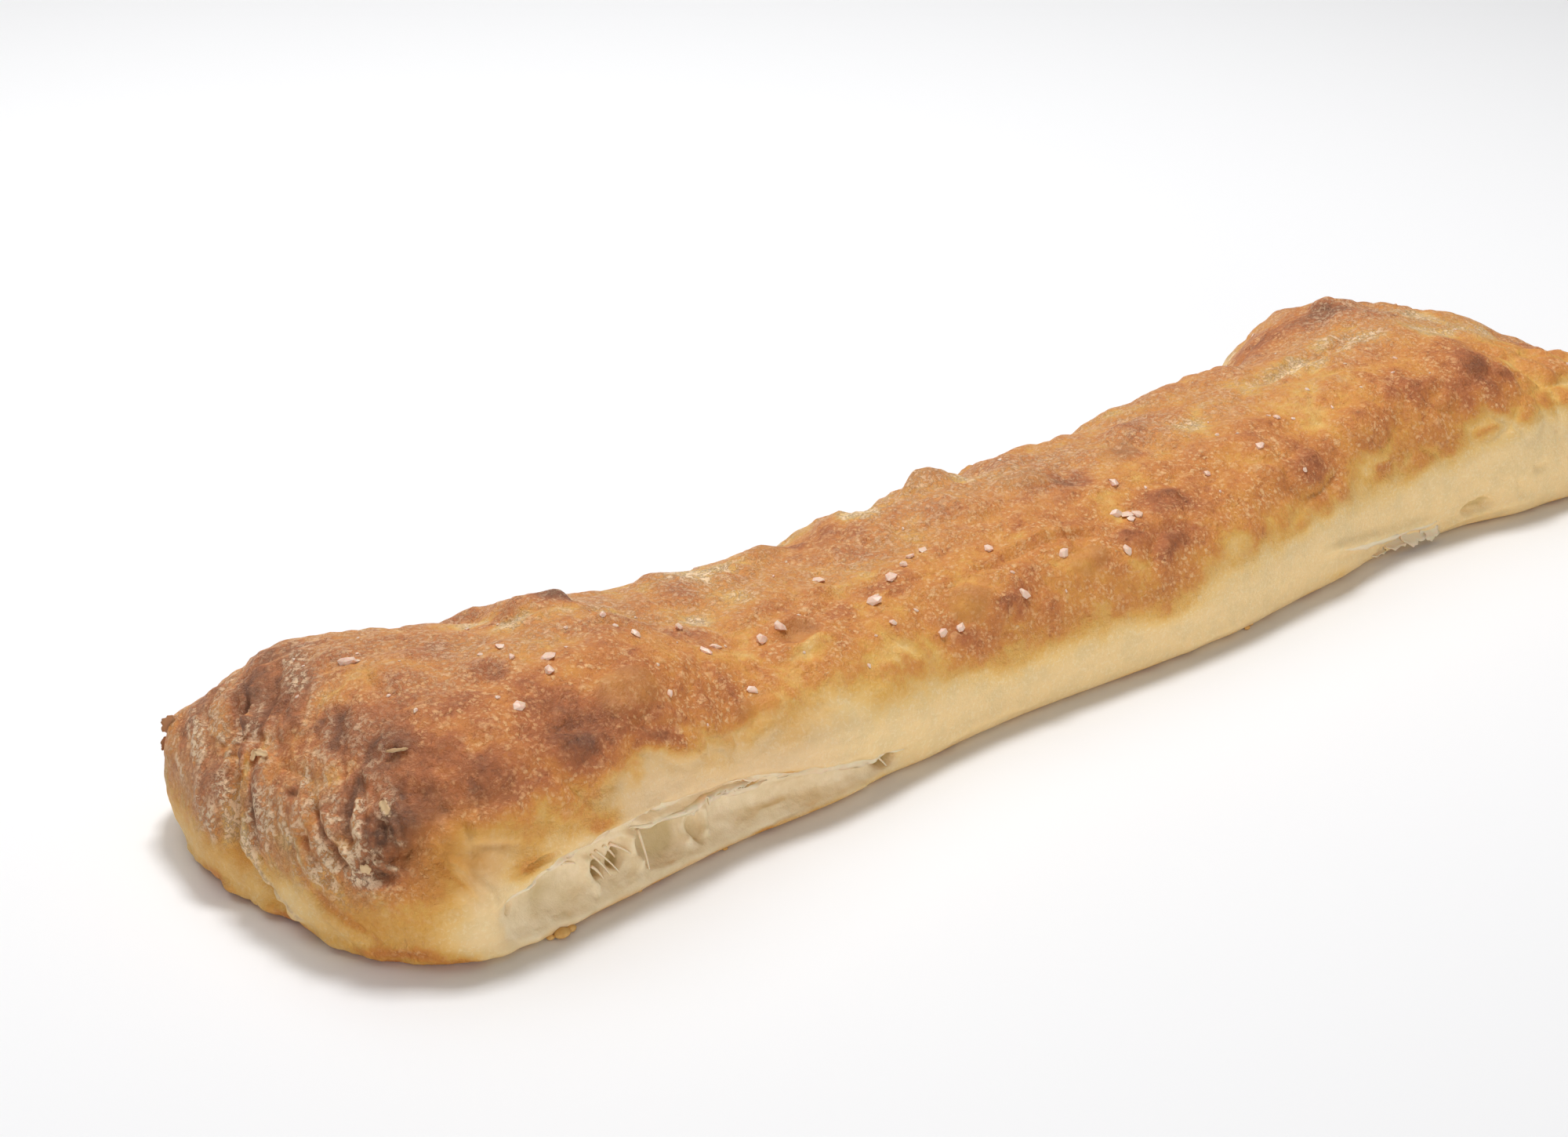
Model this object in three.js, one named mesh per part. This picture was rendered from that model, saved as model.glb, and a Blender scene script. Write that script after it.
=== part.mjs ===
// Focaccia: one long, hand-stretched loaf baked on a flat stone.
//
// The loaf lies along X with its flat base on z = 0. Its middle is narrow and low, and both ends
// swell into broad lobes where the dough was folded over. The long sides are soft and nearly
// upright, because the loaf touched its neighbours in the oven, and the near side is torn where it
// was pulled away from one. The top is uneven with blisters and with hollows left by the fingers.
//
// Everything is in millimetres, +Z up. +X points to the far end and +Y away from the torn side. The
// geometry is recentred at the end, so that the origin is the middle of the bounding box at the base.

import * as THREE from "three";
import { mergeVertices } from "three/addons/utils/BufferGeometryUtils.js";

// ---- Driving dimensions -------------------------------------------------------------------

const LENGTH = 412; // tip to tip
const CAP = 38; // how much of each end is rounded off
const PLAN_ROUNDING = 3.2; // exponent of the rounded corners: 2 is an ellipse, 4 is nearly square
const NEAR_SHOULDER = 2.9; // the same for the shoulder of each long side
const FAR_SHOULDER = 2.1;
const EQUATOR = 0.3; // share of the height at which the loaf is widest
const BASE_DROP = 2.3; // how steeply the flank turns under to the flat base
const END_SKEW = 0.06; // how far each end face leans out of square
const GRID = { along: 80, across: 18, up: 10 }; // divisions of the box the loaf is shaped from

// The plan and the crown, as [x, value] stations along the loaf.
const NEAR_FLANK = [[-206, 46], [-175, 49], [-115, 46], [-90, 48], [-45, 45], [35, 50],
  [70, 48], [103, 45], [125, 48], [150, 54], [180, 58], [206, 55]];
const FAR_FLANK = [[-206, 52], [-175, 54], [-130, 36], [-80, 29], [0, 26], [111, 26],
  [136, 40], [158, 47], [180, 42], [206, 34]];
const CROWN = [[-206, 36], [-168, 44], [-135, 43], [-105, 37], [-60, 34], [-20, 37], [30, 36],
  [75, 38], [100, 41], [140, 42], [168, 37], [190, 31], [206, 28]];

// Blisters and dimples of the top: where they are, how far they reach and how much they rise.
const BLISTERS = [
  { name: "thumb dome", x: -135, y: -30, reach: 22, rise: 4 },
  { name: "end dome", x: -183, y: -8, reach: 18, rise: 2 },
  { name: "back ridge", x: -132, y: 2, reach: 9, rise: 3 },
  { name: "valley", x: -98, y: -28, reach: 14, rise: -3 },
  { name: "saddle knob", x: -53, y: -2, reach: 9, rise: 2 },
  { name: "flat spot", x: -46, y: -36, reach: 10, rise: 1.5 },
  { name: "high knob", x: -20, y: 0, reach: 9, rise: 3 },
  { name: "pale blister", x: 2, y: -9, reach: 11, rise: 2.5 },
  { name: "dark mound", x: -32, y: -42, reach: 10, rise: 2 },
  { name: "back blister", x: 40, y: -8, reach: 10, rise: 2 },
  { name: "double mound", x: 63, y: -36, reach: 11, rise: 2 },
  { name: "far dome", x: 103, y: -40, reach: 14, rise: 3 },
  { name: "far end dome", x: 134, y: -40, reach: 12, rise: 3 },
  { name: "far ear", x: 145, y: 18, reach: 20, rise: 4 },
  { name: "end notch", x: 178, y: -24, reach: 9, rise: -3 },
  { name: "end fold", x: 194, y: -38, reach: 12, rise: 4 },
];

// Grooves. The seam climbs the near end face, where one flap of dough lies over the other: its y is
// given by height. The tear runs low along the near side, where the loaf was pulled from its
// neighbour: its height is given by x. The crease sets the far ear off from the top.
const SEAM = { path: [[0, -12], [9, -3], [15, 1], [22, 3], [28, 8], [36, 22]], reach: 6, depth: 3.5 };
const TEAR = { path: [[-182, 13], [-158, 13], [-138, 12], [-115, 10], [-90, 6], [-66, 4]], reach: 5,
  depth: 3.5, from: -186, to: -62, fade: 12 };
const CREASE = { y: -7, reach: 6, depth: 2.5, from: 82, to: 140, fade: 14 };

// ---- Helpers ------------------------------------------------------------------------------

const { lerp, smoothstep } = THREE.MathUtils;

// A smooth value along the loaf, eased from each station to the next.
function along(stations) {
  return (x) => {
    const next = stations.findIndex(([at]) => at > x);
    if (next === 0) return stations[0][1];
    if (next < 0) return stations.at(-1)[1];
    const [from, low] = stations[next - 1];
    const [to, high] = stations[next];
    return lerp(low, high, smoothstep(x, from, to));
  };
}

const nearFlank = along(NEAR_FLANK);
const farFlank = along(FAR_FLANK);
const crown = along(CROWN);
const seamAt = along(SEAM.path);
const tearAt = along(TEAR.path);

// The length of a vector by the exponent that draws a rounded square.
function roundLength(a, b, exponent) {
  return (Math.abs(a) ** exponent + Math.abs(b) ** exponent) ** (1 / exponent);
}

// Pulls a point on the surface of the unit box in to a rounded box.
function rounded(point) {
  const shoulder = lerp(NEAR_SHOULDER, FAR_SHOULDER, smoothstep(point.y, -0.5, 0.5));
  const plan = roundLength(point.x, point.y, PLAN_ROUNDING);
  return point.divideScalar(roundLength(plan, point.z, shoulder));
}

// How strongly a groove is felt at a distance from its middle line.
function groove(away, { reach, depth }) {
  return depth * Math.exp(-((away / reach) ** 2));
}

// Fades a groove in and out between its two ends.
function between(x, { from, to, fade }) {
  return smoothstep(x, from, from + fade) * (1 - smoothstep(x, to - fade, to));
}

// How far the blisters and the crease move the top at one point of the plan.
function relief(x, y) {
  const lift = BLISTERS.reduce((total, blister) => {
    const away = Math.hypot(x - blister.x, y - blister.y);
    return total + groove(away, { reach: blister.reach, depth: blister.rise });
  }, 0);
  return lift - groove(y - CREASE.y, CREASE) * between(x, CREASE);
}

// ---- The loaf -----------------------------------------------------------------------------

// Takes a point of the unit box, with corners at -1 and 1, to the skin of the loaf.
function skin(box) {
  const half = LENGTH / 2;
  const straight = 1 - CAP / half;
  const end = Math.sign(box.x);
  const intoCap = Math.max(0, (Math.abs(box.x) - straight) / (1 - straight));
  const round = rounded(new THREE.Vector3(intoCap, box.y, box.z));
  const x = end * (intoCap > 0 ? half - CAP + CAP * round.x : Math.abs(box.x) * half);
  const y = round.y * (round.y < 0 ? nearFlank(x) : farFlank(x));
  const widest = EQUATOR * crown(x);
  const below = Math.max(0, widest * (1 + BASE_DROP * round.z));
  const above = widest + (crown(x) - widest) * round.z + relief(x, y) * round.z ** 2;
  const z = round.z < 0 ? below : above;
  const intoSeam = end < 0 ? groove(y - seamAt(z), SEAM) * round.x ** 4 : 0;
  const intoTear = round.y < 0 ? groove(z - tearAt(x), TEAR) * between(x, TEAR) * round.y ** 4 : 0;
  return new THREE.Vector3(x + intoSeam - END_SKEW * y * intoCap, y + intoTear, z);
}

function loafGeometry() {
  const { along: columns, across, up } = GRID;
  const box = new THREE.BoxGeometry(2, 2, 2, columns, across, up);
  box.deleteAttribute("normal");
  box.deleteAttribute("uv");
  const geometry = mergeVertices(box);
  const position = geometry.getAttribute("position");
  const point = new THREE.Vector3();
  for (let i = 0; i < position.count; i++) {
    const moved = skin(point.fromBufferAttribute(position, i));
    position.setXYZ(i, moved.x, moved.y, moved.z);
  }
  geometry.computeBoundingBox();
  const { min, max } = geometry.boundingBox;
  geometry.translate(-(min.x + max.x) / 2, -(min.y + max.y) / 2, -min.z);
  geometry.computeVertexNormals();
  return geometry;
}

const crust = new THREE.MeshStandardMaterial({ color: 0xc68a4e, roughness: 0.75, metalness: 0 });
const loaf = new THREE.Mesh(loafGeometry(), crust);
loaf.name = "loaf";

const focaccia = new THREE.Group();
focaccia.add(loaf);

export default focaccia;
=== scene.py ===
# %% [markdown]
# # A focaccia, stretched long by hand
#
# The real thing is one long loaf of wet dough, folded over at both ends, pressed with the
# fingers, salted and baked on stone beside its neighbours. Its top is browned and blistered, its
# flanks stayed pale where the loaves touched, and the near flank is torn where they were pulled
# apart.
#
# The loaf's plain solid comes from the CAD frame, at its true size. This lesson lays a finely
# modelled loaf over it, browns it, and adds the small loose things: salt, flakes, threads of
# crumb and crumbs. Lengths are written in millimetres, because a baker's eye works in those, and
# are turned into Blender's metres with one factor.

import itertools
import math

import bmesh
import bpy
import numpy as np
from mathutils import Matrix, Vector, noise
from mathutils.bvhtree import BVHTree


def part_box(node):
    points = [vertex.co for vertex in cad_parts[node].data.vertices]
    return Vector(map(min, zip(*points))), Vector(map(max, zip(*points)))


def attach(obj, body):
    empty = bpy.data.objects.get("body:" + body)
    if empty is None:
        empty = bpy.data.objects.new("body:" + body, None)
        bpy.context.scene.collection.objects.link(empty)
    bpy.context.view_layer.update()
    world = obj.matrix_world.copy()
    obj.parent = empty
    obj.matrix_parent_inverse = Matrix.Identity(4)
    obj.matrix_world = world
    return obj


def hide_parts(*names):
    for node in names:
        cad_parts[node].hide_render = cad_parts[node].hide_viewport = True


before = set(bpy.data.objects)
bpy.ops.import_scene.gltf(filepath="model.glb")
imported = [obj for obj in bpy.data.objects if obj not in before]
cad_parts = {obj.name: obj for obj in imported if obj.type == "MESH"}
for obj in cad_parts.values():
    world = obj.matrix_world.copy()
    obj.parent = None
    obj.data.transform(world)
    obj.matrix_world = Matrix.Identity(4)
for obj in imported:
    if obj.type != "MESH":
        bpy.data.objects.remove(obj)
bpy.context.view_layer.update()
MM = 0.001  # metres in a millimetre
low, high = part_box("loaf")
length, width, height = ((high - low) / MM).to_tuple(1)
print(f"the loaf is {length} mm long, {width} mm wide and {height} mm high")

# %% [markdown]
# ## The view
#
# The camera looks along the loaf from above its near end, as somebody leaning over a table
# would. It is placed by the point of the floor that it looks at, how far back it stands, how far
# it is turned and how steeply it looks down, because each of those can be judged on its own.

# %% Camera
AIM = (-14.6, 54.5)  # mm on the floor
STAND_BACK = 774.3  # mm
TURN = 42.865  # degrees, from looking along +Y towards +X
LOOK_DOWN = 24.0  # degrees below level
VIEW_ANGLE = 28.0  # degrees across the view

turn = math.radians(TURN)
tilt = math.radians(LOOK_DOWN)
towards = Vector((math.sin(turn) * math.cos(tilt), math.cos(turn) * math.cos(tilt), -math.sin(tilt)))
lens = bpy.data.cameras.new("camera")
lens.angle = math.radians(VIEW_ANGLE)
lens.clip_start = 0.01
camera = bpy.data.objects.new("camera", lens)
camera.location = (Vector((*AIM, 0)) - towards * STAND_BACK) * MM
camera.rotation_euler = (math.pi / 2 - tilt, 0, -turn)
bpy.context.scene.collection.objects.link(camera)
bpy.context.scene.camera = camera
print("the camera stands at", [round(c / MM) for c in camera.location], "mm")

# %% [markdown]
# ## Small helpers for shapes
#
# Every shape below is a smooth rise or fall in some direction, so three short functions do most
# of the work: an eased step, a rounded hill, and lumps that look random but come out the same on
# each run.

# %% Steps, hills and lumps
def ease(start, end, value):
    """0 at start, 1 at end, and eased in between."""
    share = np.clip((value - start) / (end - start), 0, 1)
    return share * share * (3 - 2 * share)


def hill(distance):
    """1 in the middle, fading to nothing about two reaches away."""
    return np.exp(-np.square(distance))


def lumps(points, size, seed):
    """Smooth values between -1 and 1 that rise and fall over about the given size in mm."""
    table = np.random.default_rng(seed).uniform(-1, 1, (32, 32, 32))
    scaled = np.asarray(points) / size
    cell = np.floor(scaled).astype(int)
    share = ease(0, 1, scaled - cell)
    total = np.zeros(len(scaled))
    for corner in itertools.product((0, 1), repeat=3):
        weight = np.where(corner, share, 1 - share).prod(axis=1)
        i, j, k = ((cell + corner) % 32).T
        total += weight * table[i, j, k]
    return total


def rough(points, size, seed, layers=3):
    """Lumps with ever smaller lumps on them, each layer half the size and half the strength."""
    return sum(lumps(points, size / 2 ** n, seed + n) / 2 ** n for n in range(layers))


# %% [markdown]
# Each blister, crease and patch has its place, so two more helpers measure how far a point lies
# from a spot or from a line. An oval spot is a round one, measured with a longer ruler along its
# length.

# %% Places and lines
def reach_from(u, v, place, reach, lean=0.0):
    """Distance from a place in reaches. Two reaches make an oval, turned by lean degrees."""
    du = u - place[0]
    dv = v - place[1]
    cos = math.cos(math.radians(lean))
    sin = math.sin(math.radians(lean))
    wide, tall = np.broadcast_to(reach, 2)
    return np.hypot((du * cos + dv * sin) / wide, (dv * cos - du * sin) / tall)


def from_line(u, v, line):
    """Distance in mm from a line drawn through points, and the share of the way along it."""
    corners = np.array(line, float)
    spans = np.diff(corners, axis=0)
    lengths = np.hypot(*spans.T)
    nearest = np.full(len(u), 1e9)
    along = np.zeros(len(u))
    walked = 0.0
    for start, span, size in zip(corners, spans, lengths):
        share = ((u - start[0]) * span[0] + (v - start[1]) * span[1]) / size ** 2
        share = np.clip(share, 0, 1)
        away = np.hypot(u - start[0] - share * span[0], v - start[1] - share * span[1])
        closer = away < nearest
        nearest[closer] = away[closer]
        along[closer] = (walked + share[closer] * size) / lengths.sum()
        walked += size
    return nearest, along


# %% [markdown]
# ## The loaf's big forms
#
# The CAD solid is a coarse but true form, so the fine loaf starts as a copy of it: merged,
# its triangles paired into quads, and smoothed by a Subdivision Surface. The torn flank needs a
# lip that hangs over a hollow. A sheet of quads that follows the CAD grid would stretch there, so
# after the lip is pushed in, the whole loaf is remeshed into even little quads, which take the
# finer shapes equally well everywhere.

# %% Copy the CAD loaf and smooth it
def settle(thing):
    """Applies a thing's modifiers to its mesh."""
    scene_now = bpy.context.evaluated_depsgraph_get()
    settled = bpy.data.meshes.new_from_object(thing.evaluated_get(scene_now))
    thing.modifiers.clear()
    thing.data = settled


def new_piece(name, form):
    """Makes an object of a bmesh, with smooth faces."""
    mesh = bpy.data.meshes.new(name)
    form.to_mesh(mesh)
    form.free()
    mesh.shade_smooth()
    piece = bpy.data.objects.new(name, mesh)
    bpy.context.scene.collection.objects.link(piece)
    return piece


dough = bmesh.new()
dough.from_mesh(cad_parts["loaf"].data)
bmesh.ops.remove_doubles(dough, verts=dough.verts, dist=0.01 * MM)
bmesh.ops.join_triangles(
    dough, faces=dough.faces, angle_face_threshold=math.pi, angle_shape_threshold=math.pi
)
loaf = new_piece("focaccia_loaf", dough)
smoothing = loaf.modifiers.new("smoothing", "SUBSURF")
smoothing.levels = smoothing.render_levels = 2
settle(loaf)
print("smoothed loaf:", len(loaf.data.vertices), "points")

# %% [markdown]
# Three flat charts name a place on the loaf, as a map does: the top seen from above, the near
# flank seen square-on, and the near end, whose rounded corner is seen square-on from halfway
# between the end and the flank. Each chart comes with a mask that fades out where the surface
# turns away from it.

# %% Charts of the surface
NAVEL = -119.0  # where the near end chart has its zero: the burnt knot, mm along its diagonal


class Surface:
    """The points of the loaf in mm, the way each one faces, and the charts they lie on."""

    def __init__(self, thing):
        mesh = thing.data
        flat = np.empty(len(mesh.vertices) * 3, np.float32)
        mesh.vertices.foreach_get("co", flat)
        self.points = flat.reshape(-1, 3).astype(float) / MM
        mesh.vertices.foreach_get("normal", flat)
        self.faces = flat.reshape(-1, 3).astype(float)
        x, y, z = self.points.T
        right = (x - y) / math.sqrt(2) - NAVEL
        outward = -(self.faces[:, 0] + self.faces[:, 1]) / math.sqrt(2)
        near = ease(-150, -168, x)
        self.charts = {
            "top": (x, y, ease(0.15, 0.5, self.faces[:, 2])),
            "flank": (x, z, ease(0.2, 0.6, -self.faces[:, 1]) * ease(-190, -180, x)),
            "end": (right, z, near * ease(-0.35, 0.1, outward)),
        }

    def push(self, amount):
        """Moves every point along the way it faces."""
        self.points += self.faces * amount[:, None]

    def put_back(self, thing):
        thing.data.vertices.foreach_set("co", (self.points * MM).astype(np.float32).ravel())
        thing.data.update()


# %% [markdown]
# The tear is where the loaf was pulled from its neighbour. Its upper lip is the edge of the skin:
# below it the flank falls in by a few millimetres, over cells that the gas left in the crumb.

# %% The tear
LIP = [  # the lip of the tear, along the flank and up, in mm
    (-186, 11), (-178, 13), (-168, 16), (-160, 17.5), (-152, 18), (-142, 18), (-133, 17),
    (-124, 16.5), (-116, 15), (-106, 13), (-98, 11.5), (-88, 9), (-78, 7.5), (-66, 6),
]
TEAR_DEPTH = 3.6
FLANK_CELLS = [  # place, reach, lean, depth: the cells that the tear has opened
    ((-152.6, 8.4), (1.9, 1.5), 0, 3.6),
    ((-147.8, 8.8), (2.1, 1.9), 30, 3.6),
    ((-135.6, 8.4), (7.4, 4.2), 0, 1.9),
    ((-125.8, 7.0), (1.7, 2.6), 0, 1.6),
    ((-114.0, 7.4), (6.4, 3.0), -12, 0.9),
    ((-98.0, 5.8), (7.0, 2.2), -12, 0.9),
    ((-74.8, 4.8), (3.2, 1.8), -10, 3.0),
    ((-163.5, 8.4), (7.0, 4.2), 0, 1.2),
    ((-170.2, 18.3), (4.6, 0.9), 8, 2.0),
    ((-176.8, 10.2), (1.5, 1.0), 30, 1.4),
    ((-139.5, 15.0), (4.0, 0.9), 0, 1.2),
    ((130.0, 6.6), (5.0, 1.6), 6, 2.0),
    ((120.0, 4.6), (3.0, 0.7), 10, 1.2),
    ((149.0, 14.0), (2.6, 0.9), -20, 0.9),
    ((156.0, 20.0), (1.0, 3.0), 0, 0.6),
    ((143.0, 9.0), (1.2, 3.0), 15, 0.6),
    ((100.0, 3.0), (9.0, 0.9), 12, 1.0),
]
FLANK_FOLDS = [  # a line, width, rise: folds of skin and the thin walls between the cells
    ([(-179, 12.2), (-171, 14.6), (-165, 16.4), (-159, 16.8), (-150, 16.6)], 1.0, 1.5),
    ([(-154, 15.0), (-148, 13.4), (-143, 12.6)], 0.8, 1.0),
    ([(-143, 12.8), (-136, 12.6), (-129, 12.2), (-124, 13.4), (-117, 13.6), (-110, 12.8)], 0.9, 2.4),
    ([(-116, 11.4), (-108, 10.8), (-100, 9.6)], 1.2, 0.8),
    ([(-144.2, 13.4), (-144.0, 9.4), (-142.6, 4.4)], 1.2, 2.4),
    ([(-128.6, 11), (-129.0, 7.5), (-128.4, 4.4)], 0.7, 1.4),
    ([(-123.6, 10.5), (-123.2, 8), (-123.8, 4.4)], 0.8, 1.2),
    ([(-155.6, 12), (-155.8, 8), (-154.8, 4)], 0.9, 1.6),
    ([(-90, 8.2), (-85, 7.6), (-78, 7.4)], 0.9, 0.8),
    ([(68, 12.4), (78, 10.6), (87, 9), (94, 7.6), (102, 6.6), (109, 6.0), (118, 6.2)], 1.3, 1.2),
    ([(72, 8.6), (82, 7.2), (92, 5.4), (102, 4.4), (114, 4.0)], 1.2, -0.7),
    ([(116, 3.4), (126, 4.0), (138, 5.0), (150, 5.4)], 1.2, 0.8),
    ([(-60, 3.6), (-50, 4.6), (-38, 4.8), (-26, 3.6)], 1.6, 0.7),
    ([(16, 3.0), (26, 4.0), (38, 4.2), (52, 3.0)], 1.8, 0.7),
]


def tear_in(surface):
    """How far the torn flank lies inside the smooth one."""
    u, v, mask = surface.charts["flank"]
    wander = 0.5 * lumps(surface.points, 6, 11) + 0.25 * lumps(surface.points, 2.5, 12)
    lip = np.interp(u, *np.array(LIP).T)
    below = lip + wander - v
    open_end = ease(-184, -172, u) * ease(-62, -92, u)
    hollow = ease(-0.3, 0.9, below) * ease(lip - 1.6, lip * 0.6, below) * open_end
    depth = hollow * (TEAR_DEPTH + 0.6 * lumps(surface.points, 11, 13))
    lip_roll = 0.8 * hill((below + 1.1) / 1.2) * open_end
    return (depth - lip_roll) * mask


def cells_and_folds(surface):
    """How far the opened cells go in and the folds between them stand out."""
    u, v, mask = surface.charts["flank"]
    bent = 0.5 * lumps(surface.points, 4, 21)
    total = np.zeros(len(u))
    for place, reach, lean, depth in FLANK_CELLS:
        total -= depth * ease(1.3, 0.55, reach_from(u + bent, v + bent, place, reach, lean))
    for line, wide, rise in FLANK_FOLDS:
        away, along = from_line(u + bent, v, line)
        total += rise * hill(away / wide) * ease(0, 0.12, along) * ease(1, 0.88, along)
    return total * mask


# %% [markdown]
# The near end is a flap of dough folded over the side lobe. Its edge is a pale rolled rim with a
# gap on one side and a hollow on the other.

# %% The seam of the near end
SEAM = [  # the rolled rim, across the end and up, in mm
    (-32, 37), (-31, 32), (-30.2, 26), (-29.8, 20), (-29.2, 15), (-27, 11), (-23.5, 8), (-18, 5.5),
]


def from_seam(surface):
    """How far right of the rolled rim a point lies, and how much of the seam there is."""
    u, v, mask = surface.charts["end"]
    line = np.array(SEAM[::-1])
    middle = np.interp(v, line[:, 1], line[:, 0]) + 0.5 * lumps(surface.points, 5, 31)
    return u - middle, ease(38, 30, v) * ease(3.0, 6, v) * mask


def seam_step(surface):
    """The gap beside the rolled rim, the rim itself, and the hollow behind it."""
    right, strength = from_seam(surface)
    gap = -3.4 * ease(-7.5, -1.0, right) * ease(0.3, -0.7, right)
    rim = 1.5 * hill((right - 0.9) / 1.0) + 2.0 * ease(-0.4, 0.6, right) * ease(11, 2, right)
    hollow = -1.3 * hill((right - 3.4) / 1.3)
    return (gap + rim + hollow) * strength


def end_trim(surface):
    """Draws the side lobe in below its middle, and raises the pinched leaf on its edge."""
    u, v, mask = surface.charts["end"]
    tuck = -2.2 * ease(-40, -50, u) * ease(22, 15, v)
    leaf = 2.4 * hill(reach_from(u, v, (-50.5, 25), (1.3, 3.6), -8))
    leaf += 1.2 * hill(reach_from(u, v, (-49.5, 28.5), (1.5, 1.2)))
    return (tuck + leaf) * mask


# %% [markdown]
# The seam, the folded end and the tear are pushed into the smooth loaf together. The quads beside
# the lip are stretched long by that, and a voxel remesh lays new ones of one size over them.

# %% Push the big forms in and remesh
VOXEL = 1.12  # mm, the size of the new quads

surface = Surface(loaf)
surface.push(seam_step(surface) + end_trim(surface) - tear_in(surface))
surface.put_back(loaf)
remesh = loaf.modifiers.new("remesh", "REMESH")
remesh.mode = "VOXEL"
remesh.voxel_size = VOXEL * MM
settle(loaf)
print("remeshed loaf:", len(loaf.data.polygons), "faces")

# %% [markdown]
# Small shapes need small faces, but only where there is something small to see. So the near end
# and the tear are divided once more, and the hidden flat base is thinned out to big triangles.

# %% Divide the detailed places, thin out the base
dough = bmesh.new()
dough.from_mesh(loaf.data)
bmesh.ops.smooth_vert(
    dough, verts=dough.verts, factor=0.5, use_axis_x=True, use_axis_y=True, use_axis_z=True
)

BASE_TOP = 1.0  # mm, below it the loaf stays coarse
NEAR_END = -176.0  # mm, where the near end starts
TEAR_END, TEAR_SIDE, TEAR_TOP = -66.0, -30.0, 21.0  # mm, the box that holds the tear


def is_detailed(point):
    """Whether a point lies on the near end or in the tear, above the base."""
    x, y, z = (c / MM for c in point)
    in_tear_box = x < TEAR_END and y < TEAR_SIDE and z < TEAR_TOP
    return z >= BASE_TOP and (x < NEAR_END or in_tear_box)


bmesh.ops.subdivide_edges(
    dough,
    edges=[e for e in dough.edges if all(is_detailed(v.co) for v in e.verts)],
    cuts=1,
    use_grid_fill=True,
    smooth=0.0,
)
bmesh.ops.triangulate(dough, faces=[f for f in dough.faces if len(f.verts) > 4])
dough.to_mesh(loaf.data)
dough.free()

BASE_POINTS = 0.35  # mm, the highest that a point of the flat base lies
BASE_SAVING = 0.93  # the share of the base's points that are taken away

hidden = [v.index for v in loaf.data.vertices if v.co.z < BASE_POINTS * MM]
base = loaf.vertex_groups.new(name="base")
base.add(hidden, 1.0, "REPLACE")
thin = loaf.modifiers.new("thin", "DECIMATE")
thin.ratio = 1 - BASE_SAVING * len(hidden) / len(loaf.data.vertices)
thin.vertex_group = base.name
settle(loaf)
loaf.data.shade_smooth()
loaf.data.calc_loop_triangles()
print("detailed loaf:", len(loaf.data.loop_triangles), "triangles")

# %% [markdown]
# ## Blisters, dimples and creases
#
# The dough rose unevenly under the fingers' dimples, so the top is a landscape of blisters and
# hollows a few millimetres high. The larger ones are listed, each where it sits on the
# loaf. The rest are scattered: real crust has hundreds, and no eye counts them.

# %% Swellings and hollows of the top
TOP_FORMS = [  # place, reach, lean and rise, in mm and degrees
    ((-168, -36), (7, 5), 0, 0.6), ((-165, -8), (6, 4), 0, -0.6), ((-158, -16), (4, 2), 25, -1.2),
    ((-157, -11), (6, 2), 0, 0.8), ((-153, -32), (3, 6), 0, -0.7), ((-134, 9), (5, 3), 0, 1.2),
    ((-133, 5), 2.6, 0, 0.8), ((-126, 5), 3.0, 0, 1.4), ((-114, -9), (8, 2.5), -30, 0.7),
    ((-105, -39), (6, 2.6), 0, 0.9), ((-88, -30), (8, 1.8), -6, 1.1), ((-70, -20), (9, 4), 0, -1.0),
    ((-68, 6), (5, 3), 0, 1.0), ((-54, -24), (6, 4), 0, 0.7), ((-45, 6), (5, 4), 0, 1.4),
    ((-31, -38), (7, 4), 20, 1.0), ((-30, -31), (5, 1.6), 10, -0.6), ((-27, 4), (3, 4), 0, -0.8),
    ((-14, 7), (7, 5), 0, 1.8), ((-14, -16), (9, 4), 0, -0.8), ((15, -13), (4, 3), 0, -0.9),
    ((42, -3), (6, 5), 0, 1.0), ((52, -32), (7, 5), 0, -0.8), ((95, -24), (9, 6), 0, -0.8),
    ((128, -26), (5, 6), 0, -1.0),
]


def chart_relief(surface, chart, forms, lines, bend):
    """The height of one chart's hand-placed forms and lines."""
    u, v, mask = surface.charts[chart]
    u = u + bend * lumps(surface.points, 8, 41)
    v = v + bend * lumps(surface.points, 8, 42)
    total = np.zeros(len(u))
    for place, reach, lean, rise in forms:
        total += rise * hill(reach_from(u, v, place, reach, lean))
    for line, wide, rise in lines:
        away, along = from_line(u, v, line)
        total += rise * hill(away / wide) * ease(0, 0.15, along) * ease(1, 0.85, along)
    return total * mask


# %% [markdown]
# Where two swellings meet, the skin folds up into a ridge, often with a crease beside it. Each is
# a line drawn across the loaf, one oval hill wide.

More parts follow.
